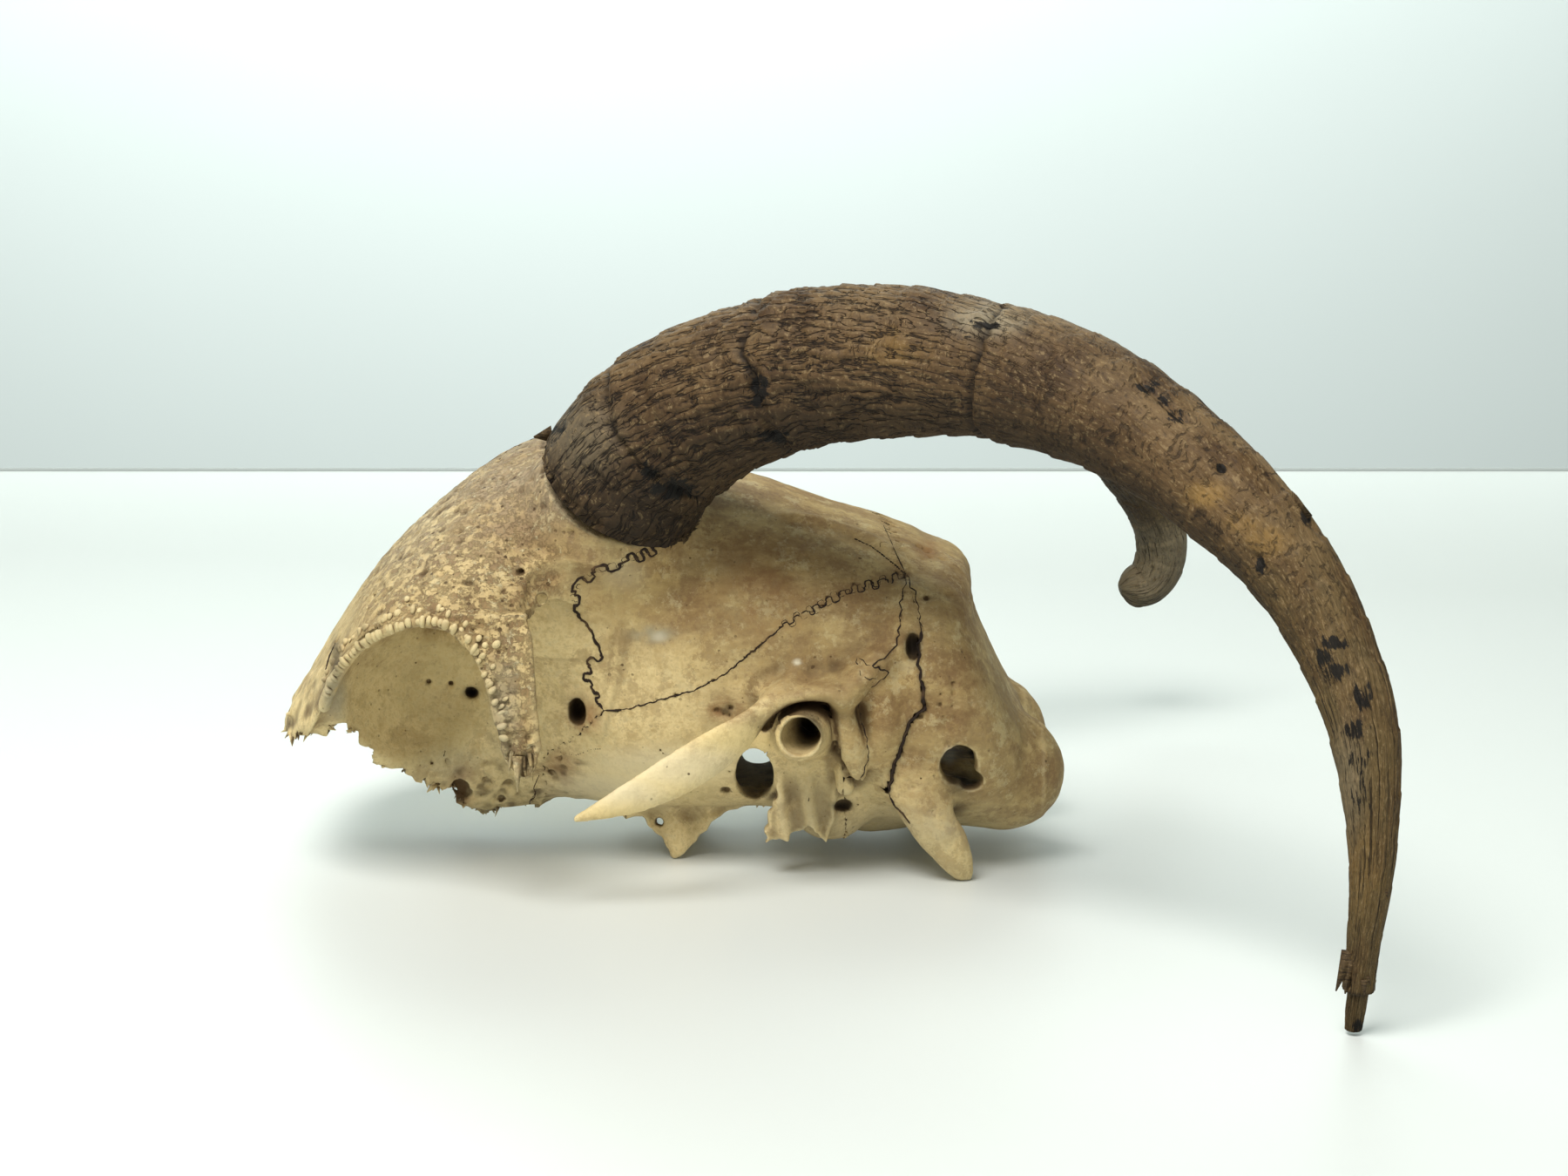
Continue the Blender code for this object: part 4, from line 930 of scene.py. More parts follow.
# Each bone is one or more slabs: a side-view outline, and from how far out to how far out it lies.
SLABS = {"frontal": ((coronal + frontal_foot[1:] + broken_face + nose_end, 0.0, FAR),),
         "parietal": ((coronal + squamosal + squamosal_rear[1:] + nape_top, -FAR, FAR),),
         "occipital": ((top + rear + [(MIDDLE_X, DEEP)], -FAR, 11.0),
                       (top + rear + EAR_LOW + ear_rear + [(MIDDLE_X, 33.7)], -FAR, 17.0),
                       (top[-1:] + rear + EAR_LOW + ear_rear[:2] + mastoid_front[-1:] + mastoid_back[::-1],
                        -FAR, FAR)),
         "sphenoid": ((coronal[-1:] + squamosal + [(MIDDLE_X, DEEP)] + foot, -FAR, 11.0),
                      (coronal[-1:] + squamosal + [(MIDDLE_X, 33.7)] + ear_front + notch + foot,
                       -FAR, 17.0),
                      (coronal[-1:] + squamosal[:1] + squama_foot + ear_front[-2:] + notch + foot,
                       -FAR, 32.0)),
         "temporal": ((squamosal + squamosal_rear[1:] + mastoid_front + ear_rear[1:] + ear_front[:-1]
                       + squama_foot[::-1], 17.0, FAR), (ARCH_SPACE + ear_front[:-1], 33.0, FAR)),
         "mastoid": ((squamosal_rear[-1:] + mastoid_back + mastoid_front[::-1], 17.0, FAR),),
         "tympanic": ((ear_front + EAR_SPACE + ear_rear, 11.0, FAR),
                      (ear_front + [(-5.0, DEEP)] + EAR_LOW + ear_rear, 11.0, 24.0)),
         "pterygoid": ((PTERYGOID_BOX + [(-7.8, DEEP)], 11.0, 18.0),)}
SINGLE, PALE_KINDS = ("parietal", "occipital", "sphenoid"), ("sphenoid", "tympanic", "pterygoid")
ENDINGS = {"_" + name: side for name, side in SIDES.items()}
BONES = {}
for kind in SLABS:
    for ending, side in ({"": 0} if kind in SINGLE else ENDINGS).items():
        BONES[kind + ending] = (kind, side, "pale_bone" if kind in PALE_KINDS else "bone")


def share_of(kind, part, side):
    """Below zero inside any slab of a bone. The two forehead bones meet in a wave."""
    x, y, z = part
    y = y - middle_wave(x, z) if kind == "frontal" else y
    out = y * side if side else np.abs(y)
    return np.minimum.reduce([np.maximum(region(outline, part), outside(out, *reach))
                              for outline, *reach in SLABS[kind]])


print(len(BONES), "bones:", ", ".join(BONES))

# %% [markdown]
# ## From field to mesh
#
# A surface net finds every cell of the grid that the surface passes through, puts one point in it
# where the surface is, and joins the points of neighbouring cells with four-sided faces. Blender
# could mesh a volume as well, but this way each bone's own grid decides its surface, the result
# is closed, and the values around each point can colour it.

# %% A surface net on a small grid
def untangled(values):
    """Fills the one-point bridges at which a surface would touch itself."""
    for _ in range(6):
        inside, changed = values < 0.0, False
        for a, b in ((0, 1), (0, 2), (1, 2)):
            corner = []
            for da, db in ((0, 0), (1, 0), (0, 1), (1, 1)):
                here = [slice(None)] * 3
                here[a] = slice(da, values.shape[a] - 1 + da)
                here[b] = slice(db, values.shape[b] - 1 + db)
                corner.append(tuple(here))
            p, q, r, s = (inside[c] for c in corner)
            crossed = (p == s) & (q == r) & (p != q)
            if crossed.any():
                changed = True
                for part in (values[corner[0]], values[corner[1]]):
                    part[crossed & (part >= 0.0)] = -0.02
        if not changed:
            break
    return values


def surface_net(values, low):
    """Points and four-sided faces of the zero surface; low is the place of the first sample."""
    inside = values < 0.0
    shape = np.array(values.shape) - 1
    corners = list(np.ndindex(2, 2, 2))
    count = np.zeros(shape, np.int8)
    for dx, dy, dz in corners:
        count += inside[dx:dx + shape[0], dy:dy + shape[1], dz:dz + shape[2]]
    crossing = (count > 0) & (count < 8)
    cells = np.argwhere(crossing)
    number = np.full(shape, -1, np.int64)
    number[crossing] = np.arange(len(cells))
    sample = np.stack([values[tuple((cells + corner).T)] for corner in corners], 1)
    total, hits = np.zeros((len(cells), 3)), np.zeros(len(cells))
    for i, first in enumerate(corners):
        for j, second in enumerate(corners):
            if j <= i or sum(abs(p - q) for p, q in zip(first, second)) != 1:
                continue
            a, b = sample[:, i], sample[:, j]
            cross = (a < 0.0) != (b < 0.0)
            share = np.where(cross, a / np.where(cross, a - b, 1.0), 0.0)
            place = np.array(first) + share[:, None] * (np.array(second) - np.array(first))
            total += place * cross[:, None]
            hits += cross
    points = (cells + total / hits[:, None]) * STEP + low
    faces = []
    for axis in range(3):
        u, v = (axis + 1) % 3, (axis + 2) % 3
        edges = np.argwhere(np.diff(inside, axis=axis))
        starts_inside = inside[tuple(edges.T)]
        ring = []
        for du, dv in ((-1, -1), (0, -1), (0, 0), (-1, 0)):
            cell = edges.copy()
            cell[:, u] += du
            cell[:, v] += dv
            ring.append(number[tuple(cell.T)])
        loop = np.stack(ring, 1)
        loop[~starts_inside] = loop[~starts_inside][:, ::-1]
        faces.append(loop)
    return points, np.concatenate(faces)


# %% Keep one surface, and smooth it a little
def links_of(faces):
    pairs = np.concatenate([faces[:, (k, (k + 1) % 4)] for k in range(4)])
    return np.unique(np.sort(pairs, axis=1), axis=0)


def largest_part(points, faces):
    """Only the largest connected surface stays."""
    links = links_of(faces)
    label = np.arange(len(points))
    while True:
        lower = np.minimum(label[links[:, 0]], label[links[:, 1]])
        fresh = label.copy()
        np.minimum.at(fresh, links[:, 0], lower)
        np.minimum.at(fresh, links[:, 1], lower)
        fresh = np.minimum(fresh, fresh[fresh])
        if (fresh == label).all():
            break
        label = fresh
    names, sizes = np.unique(label, return_counts=True)
    keep = label == names[sizes.argmax()]
    number = np.cumsum(keep) - 1
    return points[keep], number[faces[keep[faces[:, 0]]]]


def smoothed(points, faces, share=0.45):
    links = links_of(faces)
    for _ in range(2):
        total, count = np.zeros_like(points), np.zeros(len(points))
        for a, b in (links.T, links.T[::-1]):
            count += np.bincount(a, minlength=len(points))
            for k in range(3):
                total[:, k] += np.bincount(a, weights=points[b, k], minlength=len(points))
        points = points + share * (total / count[:, None] - points)
    return points


def slope_at(points, grid):
    """The direction in which a field grows, at any points."""
    reach = 0.5 * STEP * np.eye(3)
    return np.stack([field_at(points + r, grid) - field_at(points - r, grid) for r in reach], 1) / STEP


def sharpened(points, share):
    """Points beside a suture slide onto the bone's surface and onto the suture's wall at once."""
    near = (np.abs(field_at(points)) < 0.6 * STEP) & (np.abs(field_at(points, share)) < 0.6 * STEP)
    moved = points[near]
    for _ in range(3):
        for grid in (FIELD, share):
            slope = slope_at(moved, grid)
            step = field_at(moved, grid) / np.maximum((slope ** 2).sum(1), 0.3)
            moved = moved - slope * step[:, None]
    drift = moved - points[near]
    far = np.linalg.norm(drift, axis=1)
    points = points.copy()
    points[near] += drift * np.minimum(1.0, 0.8 * STEP / np.maximum(far, 1e-6))[:, None]
    return points


def normals_of(points, faces):
    """The outward direction at each point, from its faces."""
    flat = np.cross(points[faces[:, 2]] - points[faces[:, 0]], points[faces[:, 3]] - points[faces[:, 1]])
    total = np.zeros_like(points)
    for corner, k in np.ndindex(4, 3):
        total[:, k] += np.bincount(faces[:, corner], weights=flat[:, k], minlength=len(points))
    return unit(total)


# %% Turn arrays into a Blender object
def put_values(mesh, values):
    """Named numbers or vectors on a mesh's points, for the materials and trees to read."""
    for key, numbers in values.items():
        numbers = np.asarray(numbers, np.float32)
        kind, field = ("FLOAT", "value") if numbers.ndim == 1 else ("FLOAT_VECTOR", "vector")
        mesh.attributes.new(key, kind, "POINT").data.foreach_set(field, numbers.ravel())


def points_of(mesh):
    """The points of a finished mesh in the skull's millimetres, and their normals."""
    read = []
    for key in ("co", "normal"):
        numbers = np.zeros(len(mesh.vertices) * 3, np.float32)
        mesh.vertices.foreach_get(key, numbers)
        read.append(numbers.reshape(-1, 3))
    return read[0] / MM - SHIFT, read[1]


def make_piece(name, points, faces, values, normals):
    """A mesh object at the origin, with named values on its points and its normals given."""
    mesh = bpy.data.meshes.new(name)
    mesh.vertices.add(len(points))
    mesh.vertices.foreach_set("co", ((points + SHIFT) * MM).astype(np.float32).ravel())
    mesh.loops.add(faces.size)
    mesh.loops.foreach_set("vertex_index", faces.astype(np.int32).ravel())
    mesh.polygons.add(len(faces))
    mesh.polygons.foreach_set("loop_start", np.arange(0, faces.size, faces.shape[1], dtype=np.int32))
    mesh.update(calc_edges=True)
    put_values(mesh, values)
    mesh.shade_smooth()
    mesh.normals_split_custom_set_from_vertices(normals.astype(np.float32))
    return put_in_scene(name, mesh)


# %% [markdown]
# ## What the bone has been through
#
# The colour of old bone follows its story, and shade is painted in as well. Dirt and painted
# shade darken hollows and creases, dirt stays in sutures, the crown is bleached, the braincase is
# stained brown, the broken front has gone grey. Painted shade also darkens the eye sockets, the
# inside of the braincase, the faces that look down and the holes. Each of these becomes a number
# on every point, which the material later turns into colour and roughness. General ones come from
# the shape itself, and single stains and the painted shade of holes are placed by the photograph.

# %% Stains and painted shade placed by the photograph
# Painted shade between the rim's beads: a band of umber marks along the rim, under the beads.
BEAD_GAP_SHADE = ((392, 770), (415, 746), (440, 728), (470, 714), (500, 708), (530, 714), (556, 732),
            (574, 756), (588, 790), (596, 826))
# Each mark, stain and painted shade alike: pixels across and down, half sizes in pixels, and its strength.
STAINS_AND_SHADE = {"grey": ((384, 800, 14, 26, 0.7), (747, 728, 24, 9, 0.9), (1020, 950, 60, 22, 0.35),
                   (1078, 950, 26, 18, 0.4), (515, 880, 34, 22, 0.35), (925, 930, 45, 40, 0.3),
                   (580, 810, 16, 60, 0.5)),
          "orange": ((1064, 632, 11, 12, 0.5), (832, 816, 16, 10, 0.8), (640, 885, 22, 18, 0.5),
                     (700, 700, 40, 30, 0.35), (870, 690, 60, 40, 0.35), (530, 905, 14, 20, 0.8),
                     (672, 824, 16, 20, 0.6)),
          # The black marks are painted shade in holes, cracks and gaps.
          "black_and_shade": ((1048, 742, 8, 14, 0.9), (604, 872, 6, 14, 0.7), (385, 752, 5, 22, 0.6),
                    (1103, 897, 18, 12, 0.8), (928, 838, 13, 17, 1.0), (541, 795, 8, 6, 1.0),
                    (662, 816, 8, 13, 0.8), (832, 815, 8, 4, 0.6), (966, 925, 12, 5, 0.8)),
          "pale": ((915, 760, 4, 3, 1.0), (757, 731, 8, 5, 0.5), (1090, 868, 6, 8, 0.7),
                   (716, 660, 22, 16, 0.2), (700, 905, 60, 20, 0.5), (760, 880, 80, 22, 0.45)),
          # umber: brown stains, and painted shade in the band between the rim's beads and in the funnel of
          # the optic hole at (660, 818).
          "umber": ((870, 640, 70, 26, 0.8), (955, 765, 60, 40, 0.8), (980, 705, 50, 26, 0.6),
                    (748, 730, 34, 18, 0.6), (835, 816, 28, 18, 1.0), (660, 818, 18, 18, 1.0),
                    (1090, 670, 40, 60, 0.6), (1104, 800, 30, 34, 0.8), (1020, 870, 40, 60, 0.3),
                    (640, 880, 26, 18, 0.8), (420, 745, 50, 30, 0.5), (1050, 900, 30, 40, 0.5),
                    (700, 600, 60, 20, 0.5), *((u, v, 12, 11, 0.85) for u, v in BEAD_GAP_SHADE)),
          "golden": ((760, 892, 70, 22, 0.9), (705, 925, 36, 16, 0.9), (850, 850, 60, 16, 0.6),
                     (760, 870, 60, 20, 0.5), (720, 700, 40, 40, 0.3))}


def facing_camera(normals):
    return np.clip(-(normals @ AHEAD) * 3.0 + 0.6, 0.0, 1.0)


def stain_and_shade(kind, points, facing):
    """How strongly each kind of mark, stain and painted shade alike, lies on each point that faces the
    camera.
    """
    across, down, _ = in_photo(points)
    total = np.zeros(len(points))
    for u, v, wide, high, strength in STAINS_AND_SHADE[kind]:
        away = ((across - u) / wide) ** 2 + ((down - v) / high) ** 2
        total = np.maximum(total, strength * np.exp(-0.7 * away ** 1.5))
    return total * facing


def soft(values, low, high):
    """0 below low, 1 above high, and smooth between."""
    return eased(np.clip((values - low) / (high - low), 0.0, 1.0))


def rough_share(points, normals):
    """How pitted the bone is: most on the forehead and the rim, none inside the sockets."""
    x, y, z = points.T
    forehead = soft(-x, 16.0, 40.0) * soft(z + 0.35 * (x + 60.0), 36.0, 50.0)
    forehead = forehead * soft(normals[:, 2], -0.35, 0.25)
    bar = soft(np.abs(y), 45.0, 49.0) * soft(-x, 39.0, 43.0)
    return np.maximum(forehead, bar)


def story_of(points, normals, edge):
    """The named values of a bone's points. edge is how far each is inside its own outline."""
    # Painted shade and dirt: a point counts as closed in the nearer the bone lies above it along its normal.
    covered = np.zeros(len(points))
    for reach, weight in ((0.8, 0.3), (1.8, 0.3), (4.0, 0.25), (8.0, 0.15)):
        open_air = np.clip(field_at(points + normals * reach) / reach, 0.0, 1.0)
        covered += weight * (1.0 - open_air)
    x, y, z = points.T
    open_share = 0.12 + 0.5 * np.minimum(openness(x, z) / 0.1, 1.0)
    # The field's curvature just above each point: concave places get dirt and painted shade, convex ones pale
    # wear.
    above = points + 0.8 * normals
    around = sum(field_at(above + s * d) for s in (-1.0, 1.0) for d in np.eye(3)) / 6.0 - field_at(above)
    # Painted shade in the eye sockets: their walls are tinted darker olive.
    from_socket = [(points - flipped(SOCKET[0], side)) / SOCKET[1] for side in SIDES.values()]
    socket_wall = np.min([np.abs(np.linalg.norm(place, axis=1) - 1.0) for place in from_socket], axis=0)
    # Painted shade inside the braincase: points inside this ellipsoid are painted nearly black.
    case_wall = ((x + 4.0) / 34.0) ** 2 + (y / 29.5) ** 2 + ((z - 40.0) / 26.0) ** 2
    story = {"hollow": covered, "seam": np.exp(-(edge / 0.34) ** 2) * open_share,
             "crease": np.clip(-around * 6.0 - 0.1, 0.0, 1.0), "worn": np.clip(around * 5.0 - 0.35, 0.0, 1.0),
             "olive_and_socket_shade": 1.0 - soft(socket_wall, 0.03, 0.09), "inner": 1.0 - soft(case_wall, 0.98, 1.04),
             "brown": soft(z + 0.6 * x, 20.0, 42.0) * (1.0 - 0.6 * soft(np.abs(y), 36.0, 44.0)),
             # painted shade: faces that look down, low on the skull, turn grey
             "under": soft(-normals[:, 2], 0.0, 0.9) * soft(-z, -22.0, -6.0),
             "crown": soft(z - 0.25 * x, 62.0, 84.0), "pitted": rough_share(points, normals)}
    facing = facing_camera(normals)
    return story | {kind: stain_and_shade(kind, points, facing) for kind in STAINS_AND_SHADE}


def relief_at(points, normals):
    """How far weathering moves the surface in or out, in mm."""
    pitted = rough_share(points, normals)
    pits = np.clip(lumps(points, 2.0, 64) - 0.45, 0.0, 1.0)
    return (0.10 * lumps(points, 3.1, 61) + 0.05 * lumps(points, 1.4, 62)
            + pitted * (0.18 * lumps(points, 1.5, 63) - 0.8 * pits))


# %% Cut, mesh and name every bone
TORN_EDGES = {}


def make_bone(name, kind, side, slot):
    low, high = [np.array(corner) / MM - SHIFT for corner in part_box(name)]
    cut, *part = window(low - 4.0, high + 4.0)
    shallow = np.clip((FIELD[cut] + OPEN_DEPTH) / 1.5, 0.0, 1.0)
    share = share_of(kind, part, side) + CLOSED_GAP + openness(part[0], part[2]) * shallow
    values = np.maximum(FIELD[cut], share)
    for k in range(3):
        for end in (0, -1):
            face = (slice(None),) * k + (end,)
            values[face] = np.maximum(values[face], STEP)
    start = np.array([axis[c.start] for axis, c in zip(AXES, cut)])
    points, faces = largest_part(*surface_net(untangled(values), start))
    inner = np.full_like(FIELD, -EMPTY)
    inner[cut] = share
    points = sharpened(smoothed(points, faces), inner)
    normals = normals_of(points, faces)
    edge = -field_at(points, inner)
    flush = (np.abs(edge) < 1.2 * STEP) & (np.abs(field_at(points)) < 0.4 * STEP)
    normals[flush] = unit(slope_at(points[flush], FIELD))
    relief = relief_at(points, normals)
    points = points + normals * relief[:, None]
    bent = normals_of(points, faces)
    bent[flush] = normals[flush]
    story = story_of(points, normals, edge)
    # Pits of the relief get the same dirt and painted shade as creases.
    story["crease"] = np.maximum(story["crease"], np.clip(-relief * 3.5 - 0.25, 0.0, 1.0))
    torn = (np.abs(edge) < 0.4 * STEP) & (np.abs(openness(points[:, 0], points[:, 2])) < 0.01)
    TORN_EDGES[name] = points[torn], normals[torn]
    piece = make_piece("dressed_" + name, points, faces, story, bent)
    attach(piece, "root")
    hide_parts(name)
    note(name, len(faces), "faces")
    return piece


bones = {name: make_bone(name, *facts) for name, facts in BONES.items()}

# %% [markdown]
# ## Writing nodes as sums
#
# Geometry and shader trees are both built from nodes. Placed by hand they soon fill a screen, so
# a small class wraps a node's output and lets ordinary sums add the Math nodes. One method adds
# any other node.

# %% A wire that does arithmetic
def maths(operation, reflected=False):
    """A method that adds one Math node."""
    def method(self, *others):
        values = (self, *others)[::-1] if reflected else (self, *others)
        return self.sketch.node("ShaderNodeMath", {"operation": operation}, dict(enumerate(values)))
    return method


class Wire:
    """A node's output, on which sums can be written as in Python."""

    def __init__(self, sketch, socket):
        self.sketch, self.socket = sketch, socket

    __add__ = __radd__ = maths("ADD")
    __mul__ = __rmul__ = maths("MULTIPLY")
    __sub__, __rsub__ = maths("SUBTRACT"), maths("SUBTRACT", True)
    __truediv__, __rtruediv__ = maths("DIVIDE"), maths("DIVIDE", True)
    __pow__, at_most, at_least = maths("POWER"), maths("MINIMUM"), maths("MAXIMUM")
    sine, cosine, exp = maths("SINE"), maths("COSINE"), maths("EXPONENT")
    absolute, fraction = maths("ABSOLUTE"), maths("FRACT")

    def out(self, name):
        """Another output of the same node."""
        return Wire(self.sketch, self.socket.node.outputs[name])

    def from_to(self, low, high):
        """0 where the value is low, 1 where it is high, and smooth between."""
        values = {"Value": self, "From Min": low, "From Max": high}
        return self.sketch.node("ShaderNodeMapRange", {"interpolation_type": "SMOOTHSTEP"}, values)


class Sketch:
    """A node tree that is filled by writing."""

    def __init__(self, tree):
        self.tree = tree

    def fill(self, node, values):
        """Gives each socket its value or its wire."""
        for name, value in values.items():
            if isinstance(value, Wire):
                self.tree.links.new(value.socket, node.inputs[name])
            else:
                node.inputs[name].default_value = value

    def node(self, kind, settings=None, values=None, out=0):
        """Adds any node: its settings first, then what goes into its sockets."""
        made = self.tree.nodes.new(kind)
        for name, value in (settings or {}).items():
            setattr(made, name, value)
        self.fill(made, values or {})
        return Wire(self, made.outputs[out]) if len(made.outputs) else made

    def named(self, name, kind="FLOAT"):
        """A value that every point of a piece carries, in a geometry tree."""
        return self.node("GeometryNodeInputNamedAttribute", {"data_type": kind}, {"Name": name})

    def store(self, geometry, name, value, kind="FLOAT"):
        """The same geometry with a value left on its points."""
        return self.node("GeometryNodeStoreNamedAttribute", {"data_type": kind, "domain": "POINT"},
                         {"Geometry": geometry, "Name": name, "Value": value})

    def move(self, geometry, offset):
        """The same geometry with each point moved by a vector."""
        return self.node("GeometryNodeSetPosition", values={"Geometry": geometry, "Offset": offset})

    def circle(self, sides):
        return self.node("GeometryNodeCurvePrimitiveCircle", values={"Resolution": sides, "Radius": 1.0})

    def sweep(self, path, profile, scale):
        """A profile drawn along a path, closed at both ends."""
        values = {"Curve": path, "Profile Curve": profile, "Scale": scale, "Fill Caps": True}
        return self.node("GeometryNodeCurveToMesh", values=values)

    def vector(self, operation, *values, out="Vector"):
        return self.node("ShaderNodeVectorMath", {"operation": operation}, dict(enumerate(values)), out)

    def joined(self, *values):
        """A vector of three values."""
        return self.node("ShaderNodeCombineXYZ", values=dict(enumerate(values)))

    def scaled(self, vector, value):
        return self.vector("MULTIPLY", vector, self.joined(value, value, value))

    def noise(self, place, size, detail=2.0, rough=0.55):
        """Soft random values from 0 to 1 in lumps of a size in metres."""
        values = {"Vector": place, "Scale": 1.0 / size, "Detail": detail, "Roughness": rough}
        return self.node("ShaderNodeTexNoise", {"noise_dimensions": "3D"}, values, "Fac")

    def cells(self, place, size, out="Distance"):
        """The distance to the nearest of many random points, or a colour for each of them."""
        return self.node("ShaderNodeTexVoronoi", {}, {"Vector": place, "Scale": 1.0 / size}, out)

    def mix(self, share, first, second):
        """A colour between two colours."""
        return self.node("ShaderNodeMix", {"data_type": "RGBA"}, {0: share, 6: first, 7: second}, 2)

    def layers(self, base, *coats):
        """A colour with others laid over it in turn. Each coat is its share and its colour."""
        for share, tint in coats:
            base = self.mix(share, base, tint)
        return base


class Finish(Sketch):
    """A material that is filled by writing."""

    def __init__(self, name):
        self.material = bpy.data.materials.new(name)
        self.material.use_nodes = True
        super().__init__(self.material.node_tree)
        self.place = self.node("ShaderNodeTexCoord", out="Object")

    def point(self, key, out="Fac"):
        """A value that every point of a piece carries, in a material."""
        return self.node("ShaderNodeAttribute", {"attribute_name": key}, out=out)

    def grain(self, *settings):
        """Noise in the object's own coordinates."""
        return self.noise(self.place, *settings)

    def bump(self, height):
        return self.node("ShaderNodeBump", None, {"Strength": 0.85, "Distance": 0.0003, "Height": height})

    def done(self, **values):
        """Wires the surface. An underscore stands for a blank in a socket's name."""
        shader = self.tree.nodes["Principled BSDF"]
        self.fill(shader, {name.replace("_", " "): value for name, value in values.items()})
        return self.material


def colour(red, green, blue):
    """A screen colour, each from 0 to 255, as the light values that a shader needs."""
    shares = [value / 255.0 for value in (red, green, blue)]
    return (*[s / 12.92 if s <= 0.04045 else ((s + 0.055) / 1.055) ** 2.4 for s in shares], 1.0)


# %% [markdown]
# ## The horn sheaths
#
# A horn sheath is a tube of keratin that grows from its base, so its shape follows a rule: one
# path, one thickness along it, a lip wherever growth paused, and a skin that dries into long
# scales. That is what Geometry Nodes are good at. The tree sweeps a circle along the path,
# flattens it, and moves its points by the lips, rings and scales. It also leaves on the points
# where each lies in the pattern of scales, so that the material can draw the same scales.

# %% A tree that grows a sheath along a path
def new_tree(name, **inputs):
    """An empty geometry tree with named inputs by kind: its sketch and its input node."""
    tree = bpy.data.node_groups.new(name, "GeometryNodeTree")
    for kind, names in (inputs | {"Material": ["Material"]}).items():
        for key in names:
            tree.interface.new_socket(name=key, in_out="INPUT", socket_type="NodeSocket" + kind)
    tree.interface.new_socket(name="Result", in_out="OUTPUT", socket_type="NodeSocketGeometry")
    draw = Sketch(tree)
    return draw, draw.node("NodeGroupInput")


def finish_tree(draw, given, geometry):
    """Ends a tree as the export needs it, with real meshes and a material."""
    geometry = draw.node("GeometryNodeRealizeInstances", values={"Geometry": geometry})
    dressed = {"Geometry": geometry, "Material": given.out("Material")}
    draw.node("NodeGroupOutput", values={"Result": draw.node("GeometryNodeSetMaterial", values=dressed)})
    return draw.tree


# Where growth paused: the pixel of the photograph at the middle of each step.
STEPS = {"First step": (735, 520), "Second step": (868, 440), "Third step": (1122, 425)}
PATH_STEP = 0.5
SKIN_LENGTH = 0.28                      # how far the pattern of scales is drawn out along the horn


def from_wrinkle(draw, skin):
    """How far each place on the skin is from the nearest long wrinkle."""
    drawn_out = draw.vector("MULTIPLY", skin, (1.0, 1.0, 0.55))
    return (draw.noise(drawn_out, 0.0019, 3.0, 0.6) - 0.5).absolute()


